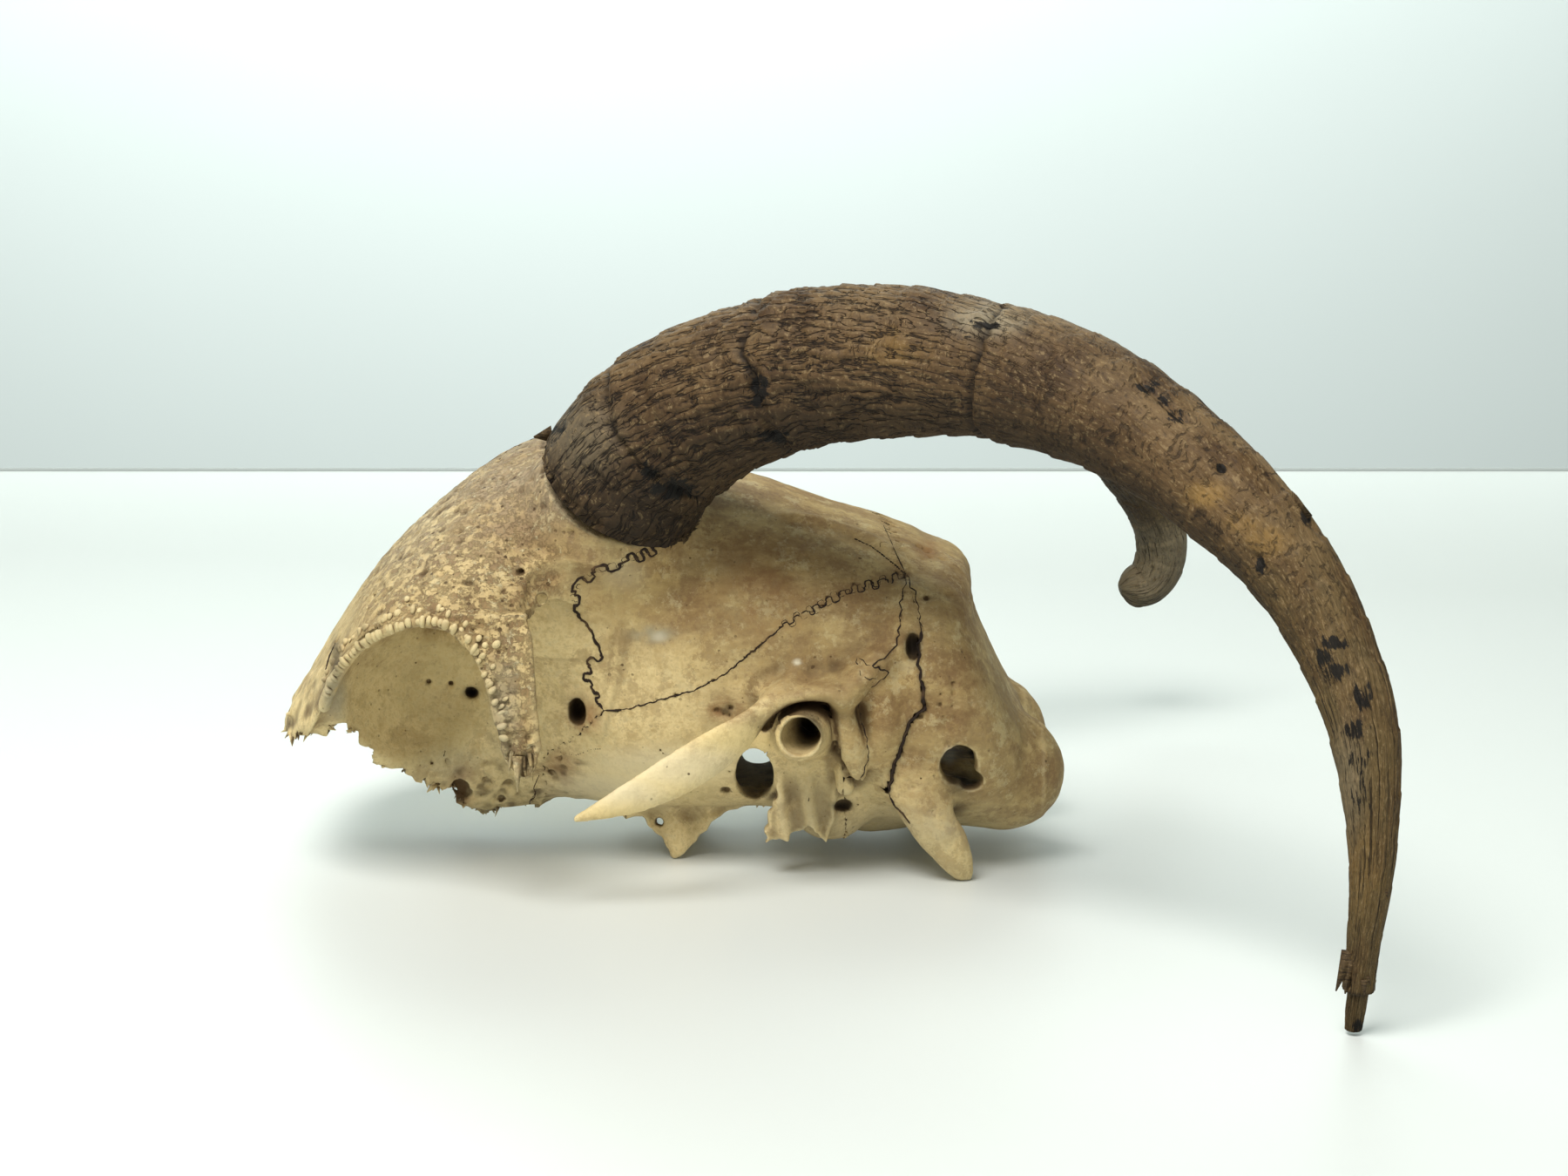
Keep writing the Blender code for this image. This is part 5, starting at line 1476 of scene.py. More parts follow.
def sheath_tree():
    """Sweeps a circle along the path, flattens it, and moves its points by what grew on the horn."""
    draw, given = new_tree(
        "horn_sheath", Geometry=["Path"], Int=["Sides"], Vector=["Across"],
        Float=[*STEPS, "Squash", "Twist", "Step height", "Groove depth", "Ring depth", "Ring spacing",
               "Wrinkle depth", "Lump height", "Fibre depth", "Ragged rim", "Variety"])
    position = draw.node("GeometryNodeInputPosition")
    length = draw.node("GeometryNodeSplineParameter", out="Length")
    path = draw.node("GeometryNodeMeshToCurve", values={"Mesh": given.out("Path")})
    path = draw.store(draw.store(path, "along", length), "centre", position, "FLOAT_VECTOR")
    circle = draw.store(draw.circle(given.out("Sides")), "around", position, "FLOAT_VECTOR")
    sheath = draw.sweep(path, circle, draw.named("thickness") * 0.5)

    along, thickness = draw.named("along"), draw.named("thickness")
    out = draw.vector("SUBTRACT", position, draw.named("centre", "FLOAT_VECTOR"))
    flat = draw.vector("DOT_PRODUCT", out, given.out("Across"), out="Value") * (given.out("Squash") - 1.0)
    sheath = draw.move(sheath, draw.scaled(given.out("Across"), flat))

    # Places on the skin: around the horn, with a slow twist, and along it.
    turn = draw.node("ShaderNodeSeparateXYZ", values={0: draw.named("around", "FLOAT_VECTOR")})
    twist = along * given.out("Twist")
    wide = (turn * twist.cosine() - turn.out("Y") * twist.sine()) * 0.0135 + given.out("Variety")
    high = (turn * twist.sine() + turn.out("Y") * twist.cosine()) * 0.0135
    place = draw.joined(wide, high, along)
    bend = (draw.noise(place, 0.0055, 2.0) - 0.5) * 0.0030
    skin = draw.joined(wide + bend, high - bend, along * SKIN_LENGTH + bend * 0.4)
    sheath = draw.store(sheath, "skin", skin, "FLOAT_VECTOR")

    fade = (thickness / 0.020).at_most(1.0)
    upper, past_band = along.from_to(0.085, 0.055), along.from_to(0.0095, 0.0120)
    scales = from_wrinkle(draw, skin).at_most(0.10) * 10.0 * given.out("Wrinkle depth")
    scales = scales * (upper * past_band * 0.7 + 0.3)
    phase = along / given.out("Ring spacing") + draw.noise(place, 0.022) * 1.6
    rings = (0.5 - phase.fraction()) * given.out("Ring depth") * fade
    relief = (draw.noise(place, 0.010, 4.0) - 0.5) * given.out("Lump height") * fade
    fibres = draw.joined(wide, high, along * 0.06)
    grooves = (draw.noise(fibres, 0.0012, 2.0) - 0.5) * given.out("Fibre depth") * along.from_to(0.100, 0.170)
    swell, crevice = rings + scales + relief + grooves, 0.0
    for name in STEPS:
        past = along - given.out(name) + (draw.noise(place, 0.008, 2.0) - 0.5) * 0.006
        lip = past.from_to(-0.0002, 0.0003) * (past.at_least(0.0) * -140.0).exp()
        groove = (((past + 0.0006) / 0.0008).absolute() ** 2 * -1.0).exp()
        swell = swell + lip * given.out("Step height") - groove * given.out("Groove depth")
        crevice = crevice + groove
    sheath = draw.store(sheath, "crevice", crevice)
    notches = draw.noise(draw.named("around", "FLOAT_VECTOR"), 0.16, 4.0, 0.65) - 0.5
    swell = swell + (notches - 0.06) * given.out("Ragged rim") * (1.0 - along.from_to(0.0, 0.0045))
    sheath = draw.move(sheath, draw.scaled(draw.vector("NORMALIZE", out), swell))
    rim = notches * given.out("Ragged rim") * (1.0 - along.from_to(0.0, 0.006))
    sheath = draw.move(sheath, draw.scaled(draw.named("tangent", "FLOAT_VECTOR"), rim))
    return finish_tree(draw, given, sheath)


# %% Lines and points for a tree to work on, and its result as a plain mesh
def point_object(name, points, values, edges=()):
    """Loose points or lines, given in mm, with named values for a tree to read."""
    mesh = bpy.data.meshes.new(name)
    mesh.from_pydata(((points + SHIFT) * MM).tolist(), edges, [])
    put_values(mesh, values)
    return put_in_scene(name, mesh)


def plain_result(source, tree, name, values):
    """What a tree makes of an object, as a mesh of its own. The object and its modifier go."""
    modifier = source.modifiers.new("tree", "NODES")
    modifier.node_group = tree
    for item in tree.interface.items_tree:
        if item.in_out == "INPUT" and item.name in values:
            modifier[item.identifier] = values[item.name]
    graph = bpy.context.evaluated_depsgraph_get()
    mesh = bpy.data.meshes.new_from_object(source.evaluated_get(graph))
    bpy.data.objects.remove(source, do_unlink=True)
    mesh.name = name
    return put_in_scene(name, mesh)


def horn_path(name, side):
    """A line of points along a horn, each with its thickness and its direction."""
    path = through(HORNS[side], PATH_STEP) * (1.0, side, 1.0, 1.0)
    way = np.gradient(path[:, :3], axis=0)
    lead = base_frame(side)[1]
    way[:6] = way[:6] * np.linspace(0.0, 1.0, 6)[:, None] + lead * np.linspace(0.5, 0.0, 6)[:, None]
    # The near tip is a broken end as thick as the horn above it, and one splinter that runs on.
    # The far tip is worn round.
    if side < 0:
        size = np.where(path[:, 2] < 7.2, np.minimum(path[:, 3], 2.9), np.maximum(path[:, 3], 4.7))
    else:
        left = np.arange(len(path))[::-1] * PATH_STEP
        size = path[:, 3] * np.sqrt(np.clip(1.0 - (1.0 - left / 4.0).clip(0.0) ** 2, 0.1, 1.0))
    edges = [(k, k + 1) for k in range(len(path) - 1)]
    return point_object(name, path[:, :3], {"thickness": size * MM, "tangent": unit(way)}, edges)


# %% [markdown]
# ## The finish of bone
#
# Dry bone is matt, finely porous and cream where it was bleached. The material starts from
# cream, goes brown where the points say so, and then adds stains, dirt, painted shade and pores.
# Patterns use the object's own coordinates, in metres, so a pore is as large on a small bone as on
# a large one.

# %% Bone
CREAM, TAN, BROWN = colour(230, 207, 152), colour(184, 154, 98), colour(128, 98, 62)
OLIVE, MOTTLE, FLECK = colour(180, 162, 112), colour(132, 104, 68), colour(242, 226, 178)
# The two dark browns on the next line colour real dirt, and also painted shade in hollows, creases and inside
# the braincase.
DIRT_AND_SHADE, SUTURE_DIRT_AND_SHADE, GOLDEN = colour(82, 60, 34), colour(40, 26, 15), colour(238, 212, 146)
# The grey serves grey stains and also painted shade on faces that look down; the black is painted shade in
# holes, cracks and gaps.
ORANGE, GREY, BLACK = colour(144, 96, 52), colour(150, 142, 120), colour(22, 17, 13)
PALE, PATINA, BLOOM = colour(232, 222, 194), colour(140, 110, 72), colour(216, 198, 150)


def bone_material(name, tan_share, pore_size):
    draw = Finish(name)
    place, grain, point = draw.place, draw.grain, draw.point
    brown, pitted = point("brown"), point("pitted")
    broad, middle, fine = grain(0.014, 3.0), grain(0.004, 3.0), grain(0.0009, 5.0)
    streaks = draw.vector("MULTIPLY", place, (0.45, 1.0, 1.0))
    tint = (brown * 0.7 + tan_share + (broad - 0.5) * 0.9 + (middle - 0.5) * 0.5).from_to(0.0, 1.0)
    film = (draw.noise(streaks, 0.0075, 6.0, 0.68) + brown * 0.16).from_to(0.48, 0.80)
    smear = draw.noise(streaks, 0.0045, 6.0, 0.72).from_to(0.36, 0.60)
    blotch, light = grain(0.0027, 6.0, 0.75), grain(0.0019, 5.0, 0.7)
    patina, bloom = grain(0.0062, 9.0, 0.76), grain(0.0052, 9.0, 0.78)
    sheltered = grain(0.022, 3.0).from_to(0.42, 0.66) * 0.3
    # The rough forehead: brown speckles in clouds, and light flecks.
    speckle = grain(0.0018, 6.0, 0.8).from_to(0.47, 0.56)
    cloud = grain(0.007, 4.0, 0.65).from_to(0.34, 0.64)
    flecks = grain(0.0013, 4.0, 0.7).from_to(0.58, 0.68)
    # Pores and specks of dirt: some of many cells have a hole of random size.
    chance = draw.node("ShaderNodeSeparateColor", values={0: draw.cells(place, pore_size, "Color")})
    pores = ((chance - 0.62) * 0.55 + pitted * 0.12 - draw.cells(place, pore_size)).from_to(0.0, 0.10)
    chance = draw.node("ShaderNodeSeparateColor", values={0: draw.cells(place, 0.0042, "Color")})
    shaken = draw.vector("ADD", place, draw.joined(*[fine * 0.0006] * 3))
    specks = chance * 0.17 - 0.075 - draw.cells(shaken, 0.0042)
    base = draw.layers(
        draw.mix((tint + pitted * 0.55).at_most(1.0), CREAM, TAN),
        (film * (0.25 + brown * 0.6), BROWN),
        (blotch.from_to(0.50, 0.64) * (0.22 + brown * 0.28), BROWN),
        (light.from_to(0.54, 0.66) * 0.30, CREAM),
        (patina.from_to(0.51, 0.57) * (0.38 + brown * 0.45), PATINA),
        (bloom.from_to(0.54, 0.60) * 0.5, BLOOM),
        # Random olive patches, and painted shade with an olive tint on the walls of the eye sockets.
        ((sheltered + point("olive_and_socket_shade") * broad * 0.7).at_most(0.8) * (1.0 - pitted), OLIVE),
        ((fine - 0.42).from_to(0.0, 0.30) * 0.42, TAN),
        ((0.45 - fine).from_to(0.0, 0.14) * 0.25, BROWN),
        (pitted * speckle * (0.40 + cloud * 0.55), MOTTLE),
        (pitted * flecks * 0.55, FLECK),
        (point("worn") * (0.2 + fine * 0.5), FLECK),
        (point("crown") * 0.35 * broad, PALE),
        (point("umber") * smear * 0.75, BROWN),
        (point("orange") * middle.from_to(0.3, 0.6), ORANGE),
        (point("grey") * middle.from_to(0.25, 0.5), GREY),
        (point("golden") * (0.5 + middle * 0.5), GOLDEN),
        (point("pale") * 0.9, PALE),
        # Dirt and painted shade come last: dirt in specks, pores and seams, dirt and painted shade in
        # hollows and creases, and painted shade inside the braincase, on faces that look down and in holes.
        (specks.from_to(0.0, 0.03) * 0.85, DIRT_AND_SHADE),
        (point("hollow").from_to(0.30, 0.92) * 0.9, DIRT_AND_SHADE),
        (point("crease") * (0.45 + middle * 0.6), DIRT_AND_SHADE),
        (pores * (0.35 + pitted * 0.4), DIRT_AND_SHADE),
        (point("inner") * 0.85, SUTURE_DIRT_AND_SHADE),
        ((point("seam") * (middle + 0.35)).at_most(1.0) * 0.8, SUTURE_DIRT_AND_SHADE),
        (point("under") * 0.25, GREY),
        (point("black_and_shade").at_most(1.0), BLACK))
    height = fine * 0.6 + middle * 0.7 + blotch * 0.5 - pores * 0.8 + pitted * (flecks - speckle) * 0.6
    rough = (0.62 + fine * 0.2 + point("hollow") * 0.15).at_most(0.95)
    return draw.done(Base_Color=base, Roughness=rough, Normal=draw.bump(height), Specular_IOR_Level=0.3)


FINISHES = {name: bone_material(name, *facts) for name, facts in
            (("bone", (0.0, 0.0014)), ("pale_bone", (0.1, 0.0012)))}
for name, piece in bones.items():
    piece.data.materials.append(FINISHES[BONES[name][2]])

# %% [markdown]
# ## Dirt in the sutures
#
# The loops of a suture are finer than the grid. In life each is a crack a few tenths of a
# millimetre wide, packed with dark dirt, so the dirt is the piece to make: a thread that follows
# the looped line on the surface. Sweeping a small circle along a line is again work for Geometry
# Nodes, and one tree lays every thread.

# %% Find the surface under lines drawn from the side and from above
def first_inside(points):
    """The first point of each row that is inside the bone, moved onto the surface."""
    values = field_at(points)
    inside = values < 0.0
    k = np.clip(inside.argmax(1), 1, None)
    row = np.arange(len(points))
    outer, inner = values[row, k - 1], values[row, k]
    share = np.clip(outer / np.maximum(outer - inner, 1e-6), 0.0, 1.0)[:, None]
    return (points[row, k - 1] * (1.0 - share) + points[row, k] * share)[inside.any(1)]


def from_the_side(flat, side, reach=38.0):
    flat = np.array([p for p in flat if p[1] < 80.0])
    rows = np.broadcast_arrays(flat[:, :1], side * np.arange(reach, 2.0, -0.3), flat[:, 1:])
    return first_inside(np.stack(rows, 2))


def from_above(x, y):
    rows = np.broadcast_arrays(x[:, None], y[:, None], np.arange(88.0, 20.0, -0.3))
    return first_inside(np.stack(rows, 2))


def across_the_top(line):
    """Where a side-view line that rises over the crown runs on the top of the skull."""
    y = np.arange(-23.9, 24.0, 0.16)
    lower, upper = line
    x = np.full_like(y, lower[0])
    for _ in range(3):
        z = from_above(x, y)[:, 2]
        x = lower[0] + (upper[0] - lower[0]) * (z - lower[1]) / (upper[1] - lower[1]) - sway_of(y)
    return from_above(x, y)


# %% A tree that lays a thread along lines
def thread_tree():
    draw, given = new_tree("suture_thread", Geometry=["Lines"], Int=["Sides"], Float=["Waver"])
    lines = draw.node("GeometryNodeMeshToCurve", values={"Mesh": given.out("Lines")})
    waver = draw.noise(draw.node("GeometryNodeInputPosition"), 0.0012) - 0.5
    size = draw.named("radius") * (waver * given.out("Waver") + 1.0)
    threads = draw.sweep(lines, draw.circle(given.out("Sides")), size)
    return finish_tree(draw, given, threads)


def lines_object(name, lines):
    """Several lines in one mesh. Each is its points and its radius in mm."""
    edges, sizes, first = [], [], 0
    for points, radius in lines:
        edges += [(k, k + 1) for k in range(first, first + len(points) - 1)]
        first += len(points)
        ends = np.minimum(np.arange(len(points)), np.arange(len(points))[::-1])
        sizes.append(radius * MM * np.clip((ends + 1) / 6.0, 0.2, 1.0))
    places = np.concatenate([points for points, _ in lines])
    return point_object(name, places, {"radius": np.concatenate(sizes)}, edges)


# %% The dirt itself
def dirt_material():
    draw = Finish("suture_dirt")
    share = draw.grain(0.003).from_to(0.5, 0.9)
    return draw.done(Base_Color=draw.mix(share, SUTURE_DIRT_AND_SHADE, BROWN), Roughness=0.95)


THREAD_SINK = 0.08
JOIN = squamosal_rear[-1]
SIDE_THREADS = ((coronal[2:], 0.27), (squamosal, 0.15), (squamosal_rear, 0.17), (mastoid_front, 0.16),
                (mastoid_back, 0.28), (frontal_foot, 0.08), ([JOIN, NAPE_TOP[0]], 0.12),
                (knitted(SQUAMOSAL[3:] + SQUAMOSAL_REAR, 1.1, 1.3, 45), 0.08),
                (coronal[-1:] + squamosal[:1], 0.2),
                (knitted((CORONAL[3], *CORONAL[4:8]), 1.0, 1.4, 46), 0.09),
                (jagged([JOIN, (20.6, 51.2), MASTOID_FRONT[0]], 0.4, 1.0, 47), 0.13),
                (jagged([JOIN, (23.4, 51.4), MASTOID_BACK[0]], 0.4, 1.0, 48), 0.12),
                (jagged([(15.0, 40.6), (12.6, 41.6), (13.6, 38.6), (16.8, 38.0)], 0.3, 0.8, 49), 0.10))
# Hairline cracks that the photograph shows: pixels across and down, and a radius in mm.
CRACKS = ((((976, 616), (1000, 627), (1016, 640), (1030, 651), (1043, 664)), 0.24),
          (((1020, 911), (1028, 926), (1037, 934), (1048, 949)), 0.30),
          (((640, 862), (660, 867), (680, 860), (702, 859)), 0.15),
          (((385, 737), (379, 752), (372, 775)), 0.30), (((505, 852), (511, 862), (508, 873)), 0.14),
          (((538, 866), (541, 880), (537, 893)), 0.14), (((935, 880), (931, 905), (927, 926)), 0.12),
          (((1098, 740), (1106, 752), (1112, 766)), 0.12))
thread_material = dirt_material()
threads_tree = thread_tree()


def sunk(points, depth=THREAD_SINK):
    """Points on the weathered surface, drawn a little way in, so that only a thread's top shows."""
    slope = unit(slope_at(points, FIELD))
    return points + (relief_at(points, slope) - depth)[:, None] * slope


ridge_x = np.arange(-88.0, -15.0, 0.16)
ridge_y = middle_wave(ridge_x, np.full_like(ridge_x, 60.0))
top_lines = [(from_above(ridge_x, ridge_y), 0.13), (across_the_top((CORONAL[1], CORONAL[0])), 0.16),
             (across_the_top(NAPE_TOP), 0.08)]
for name, side in SIDES.items():
    lines = [(sunk(from_the_side(spaced(line, 0.16), side)), radius) for line, radius in SIDE_THREADS]
    for pixels, radius in CRACKS:
        met = [flipped(point, -side) for point in met_by(spaced(pixels, 1.3))]
        lines.append((sunk(np.array(met)), radius))
    if side < 0:
        lines += [(sunk(points), radius) for points, radius in top_lines]
    source = lines_object("suture_lines_" + name, lines)
    inputs = {"Sides": 6, "Waver": 1.4, "Material": thread_material}
    threads = plain_result(source, threads_tree, "suture_dirt_" + name, inputs)
    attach(threads, "root")
    print(threads.name, len(threads.data.polygons), "faces")

# %% [markdown]
# ## Beads and splinters
#
# The rim of the socket carries dozens of small beads of bone, and every broken edge is frayed into
# splinters. They are too small for the grid and too many to place by hand. Both are one shape set
# again and again on points, so one tree makes them: the points carry which way a piece leans and
# how large it is.

# %% A tree that sets a shape on points
def scatter_tree(name, shape, values):
    draw, given = new_tree(name, Geometry=["Places"], Float=["Variation"], Int=["Seed"])
    item = draw.node(shape, values=values)
    lean = {"Vector": draw.named("lean", "FLOAT_VECTOR")}
    turned = draw.node("FunctionNodeAlignRotationToVector", values=lean)
    ends = {2: 1.0 - given.out("Variation"), 3: given.out("Variation") + 1.0, 8: given.out("Seed")}
    swing = draw.node("FunctionNodeRandomValue", {"data_type": "FLOAT"}, ends, 1)
    scale = draw.scaled(draw.named("size", "FLOAT_VECTOR"), swing)
    places = draw.node("GeometryNodeMeshToPoints", values={"Mesh": given.out("Places")})
    spread = {"Points": places, "Instance": item, "Rotation": turned, "Scale": scale}
    return finish_tree(draw, given, draw.node("GeometryNodeInstanceOnPoints", values=spread))


def scatter(name, tree, points, leans, sizes, material, slot, variation=0.25):
    """Sets a tree's shape on points, given in mm, and dresses the result like the bone round it."""
    source = point_object(name + "_places", points, {"lean": leans, "size": sizes * MM})
    piece = plain_result(source, tree, name, {"Variation": variation, "Seed": 5, "Material": material})
    places, normals = points_of(piece.data)
    if slot == "bone":
        put_values(piece.data, story_of(places, normals, np.full(len(places), 9.0)))
    piece.data.shade_smooth()
    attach(piece, "root")
    print(name, len(points), "shapes,", len(piece.data.polygons), "faces")
    return piece


def sizes_between(count, *bounds):
    """Random sizes, axis by axis."""
    return np.stack([rng.uniform(low, high, count) for low, high in bounds], 1)


bead_tree = scatter_tree("beads", "GeometryNodeMeshIcoSphere", {"Radius": 1.0, "Subdivisions": 2})
splinter_tree = scatter_tree("splinters", "GeometryNodeMeshCone",
                             {"Vertices": 5, "Radius Top": 0.08, "Radius Bottom": 1.0, "Depth": 1.0})

# %% Beads along both rims
rng = np.random.default_rng(71)
for name, side in SIDES.items():
    rim = through(SOCKET_RIM, 1.0)[3:-4, (0, 2)]
    away = unit(rim - (SOCKET[0][0], SOCKET[0][2]))
    share = np.linspace(0.0, 1.0, len(rim))
    flat, leans = [], []
    for row, out in enumerate((0.3, 2.0, 3.7)):
        # The rows lie close on the upper part of the rim, and only one runs on to its ends.
        close = np.clip(2.4 - 3.4 * np.abs(share - 0.42) - 0.5 * row, 0.0, 1.0)
        kept = rng.random(len(rim)) < (0.95, 0.5, 0.2)[row] * close
        flat.append((rim + away * out + rng.normal(0.0, 0.22, rim.shape))[kept])
        leans.append(away[kept])
    flat, leans = np.concatenate(flat), np.concatenate(leans)
    places = from_the_side(flat, side, 58.0)
    assert len(places) == len(flat), "a bead missed the bone"
    leans = np.stack((leans[:, 0], 0.4 * side + rng.normal(0.0, 0.3, len(flat)), leans[:, 1]), 1)
    sizes = sizes_between(len(flat), (0.45, 0.8), (0.45, 0.9), (0.6, 1.1))
    places = sunk(places, 0.12)
    beads = scatter("rim_beads_" + name, bead_tree, places, leans, sizes, FINISHES["bone"], "bone").data
    for key, value in (("pitted", 0.1), ("worn", 0.6), ("umber", 0.2)):
        numbers = np.full(len(beads.vertices), value, np.float32)
        beads.attributes[key].data.foreach_set("value", numbers)

# %% Splinters along the broken edges
# The end of the bar behind the socket: pixels across and down, lean towards the nape, and length in mm.
BAR_TIP = ((588, 862, -0.15, 4.2), (594, 868, 0.0, 5.0), (601, 868, 0.1, 4.4), (608, 864, 0.12, 5.4),
           (613, 856, 0.2, 4.0))
for name, side in SIDES.items():
    for bone, count, longest in (("frontal_" + name, 170, 2.3), ("tympanic_" + name, 14, 1.4)):
        points, outward = TORN_EDGES[bone]
        if bone.startswith("frontal"):
            near_break = line_distance(broken_face, points[:, 0], points[:, 2]) < 1.2
        else:
            near_break = (points[:, 2] < 12.0) & (outward[:, 2] < -0.5)
        points, outward = points[near_break], outward[near_break]
        chosen = rng.choice(len(points), min(count, len(points)), replace=False)
        places, leans = points[chosen], outward[chosen] + rng.normal(0.0, 0.45, (len(chosen), 3))
        leans[:, 2] = np.minimum(leans[:, 2], 0.3)
        length = 0.6 + (longest - 0.6) * rng.random(len(chosen)) ** 2.2
        length = np.minimum(length, np.maximum(places[:, 2] - 0.6, 0.3))
        sizes = np.column_stack((sizes_between(len(chosen), (0.35, 0.8), (0.15, 0.35)), length))
        leans = unit(leans)
        places = places - leans * 0.25
        if bone.startswith("frontal"):
            met = [flipped(under_pixel(u, v), -side) for u, v, _, _ in BAR_TIP]
            places = np.concatenate((places, met))
            leans = np.concatenate((leans, [(aside, 0.15 * side, -1.0) for _, _, aside, _ in BAR_TIP]))
            sizes = np.concatenate((sizes, [(0.9, 0.55, length) for *_, length in BAR_TIP]))
        scatter("splinters_" + bone, splinter_tree, places, leans, sizes, FINISHES["bone"], "bone")

# %% [markdown]
# ## The finish of horn
#
# Keratin is dark brown and dries into long fibres and small scales. Near the base it is crazed all
# over, and towards the tip the outer layer is gone and tan fibres show. The pattern has to
# follow the horn, so it reads two values that the tree left on the points: how far along the
# sheath they are, and where around it.

# %% Keratin
# The near-black on this line and the dark brown on the next colour dark patches and cracks, and also painted
# shade in dents, grooves, under the sheath and at its tip.
UMBER, RUST, HONEY, DARK_PATCH_AND_SHADE = colour(66, 47, 27), colour(103, 79, 50), colour(146, 113, 60), colour(12, 10, 8)
ASH, CRACK_AND_SHADE, FLAKE, DRAB = colour(146, 134, 110), colour(19, 12, 7), colour(150, 127, 90), colour(84, 71, 42)


def horn_material(name):
    draw = Finish(name)
    point, noise = draw.point, draw.noise
    along, skin = point("along"), point("skin", "Vector")
    place = draw.vector("MULTIPLY", skin, (1.0, 1.0, 1.0 / SKIN_LENGTH))
    lengthwise = draw.vector("MULTIPLY", skin, (1.0, 1.0, 0.2))
    across = draw.vector("MULTIPLY", skin, (0.30, 0.30, 1.0 / SKIN_LENGTH))
    upper, tip = along.from_to(0.105, 0.070), along.from_to(0.135, 0.165)
    broad, middle = noise(place, 0.013, 4.0, 0.6), noise(place, 0.0035, 5.0, 0.65)
    fibre, grain = noise(lengthwise, 0.0008, 4.0, 0.65), noise(place, 0.0009, 4.0, 0.7)
    # Dark gaps between the scales, a finer craze, growth lines across and long cracks in the fibres.
    gaps = from_wrinkle(draw, skin).from_to(0.035, 0.0) * (upper * 0.9 + 0.1)
    breaks = (noise(across, 0.0016, 3.0, 0.6) - 0.5).absolute().from_to(0.022, 0.0)
    crazed = along.from_to(0.115, 0.080) * 0.85 + 0.08
    craze = breaks * noise(place, 0.0027, 2.0).from_to(0.45, 0.60) * crazed
    lines = noise(across, 0.0010, 3.0, 0.6).from_to(0.45, 0.36)
    lines = lines * along.from_to(0.080, 0.100) * (1.0 - tip * 0.7)
    cracks = noise(lengthwise, 0.0012, 3.0, 0.6).from_to(0.43, 0.35) * tip
    dark = gaps * 0.85 + craze * 0.75 + lines * 0.55 + cracks * 0.75
    # Painted shade in the growth grooves, in patches.
    dark = dark + point("crevice") * broad.from_to(0.35, 0.6)
    blot = noise(draw.vector("MULTIPLY", skin, (1.0, 1.0, 1.6)), 0.0022, 6.0, 0.75)
    # Dark patches on the sheath, with painted shade in its dents and at the tip that touches the table.
    black_and_shade = (point("black_and_shade") + (blot - 0.5) * 3.2).from_to(0.50, 0.70) * point("black_and_shade").from_to(0.05, 0.3)
    base = draw.layers(
        draw.mix((broad * 0.7 + middle * 0.6).from_to(0.42, 0.85), UMBER, RUST),
        (along.from_to(0.018, 0.008) * 0.45, CRACK_AND_SHADE),
        (along.from_to(0.125, 0.155) * broad.from_to(0.25, 0.6) * 0.75, DRAB),
        (point("tan") * middle.from_to(0.25, 0.6), HONEY),
        (point("grey") * middle.from_to(0.2, 0.5), ASH),
        # dust and painted top light: lighter flakes on faces that look up
        (point("dust_and_top_light") * broad.from_to(0.35, 0.65) * 0.35, FLAKE),
        ((fibre - 0.5).from_to(0.0, 0.3) * (tip * 0.4 + 0.2), FLAKE),
        ((grain - 0.55).from_to(0.0, 0.10) * 0.55, FLAKE),
        ((0.47 - grain).from_to(0.0, 0.12) * 0.40, CRACK_AND_SHADE),
        (dark.at_most(0.9), CRACK_AND_SHADE),
        # painted shade on faces of the sheath that look down
        (point("hollow") * 0.62, CRACK_AND_SHADE),
        (black_and_shade * 0.95, DARK_PATCH_AND_SHADE))
    height = fibre * 0.5 + middle * 0.5 + grain * 0.35 - gaps - craze * 0.5 - lines * 0.5 - cracks * 0.6
    rough = (0.5 + grain * 0.3 + dark * 0.1).at_most(0.9)
    return draw.done(Base_Color=base, Roughness=rough, Normal=draw.bump(height), Specular_IOR_Level=0.25)


HORN_STAINS_AND_SHADE = {"tan": ((1386, 568, 26, 14, 0.8), (1025, 400, 34, 20, 0.35), (1455, 620, 26, 18, 0.65),
                       (1430, 600, 20, 12, 0.7), (1560, 1000, 30, 60, 0.35)),
               "grey": ((1134, 366, 40, 17, 1.0), (668, 500, 40, 40, 0.35), (1545, 900, 20, 60, 0.35)),
               # black: dark patches, and painted shade in dents and at the tip that touches the table
               "black_and_shade": ((1533, 738, 16, 9, 1.0), (1520, 756, 10, 12, 0.9), (1532, 771, 16, 11, 1.0),
                         (1564, 800, 14, 17, 0.8), (1556, 838, 17, 13, 0.75), (1560, 876, 16, 20, 0.7),
                         (1563, 915, 12, 24, 0.55), (1447, 648, 6, 9, 1.0), (1352, 478, 16, 10, 0.75),
                         (1402, 538, 6, 6, 1.3), (772, 562, 28, 14, 1.0), (745, 540, 12, 10, 0.7),
                         (872, 445, 10, 24, 0.9), (884, 500, 22, 10, 0.9), (855, 420, 22, 6, 0.6),
                         (1318, 446, 14, 8, 0.9), (1130, 372, 24, 7, 0.7), (1110, 390, 20, 5, 0.7),
                         (640, 492, 12, 8, 0.7), (1338, 460, 14, 10, 0.6), (1499, 590, 6, 14, 1.0),
                         (1560, 1178, 9, 8, 1.0), (1546, 1120, 3, 12, 1.0))}
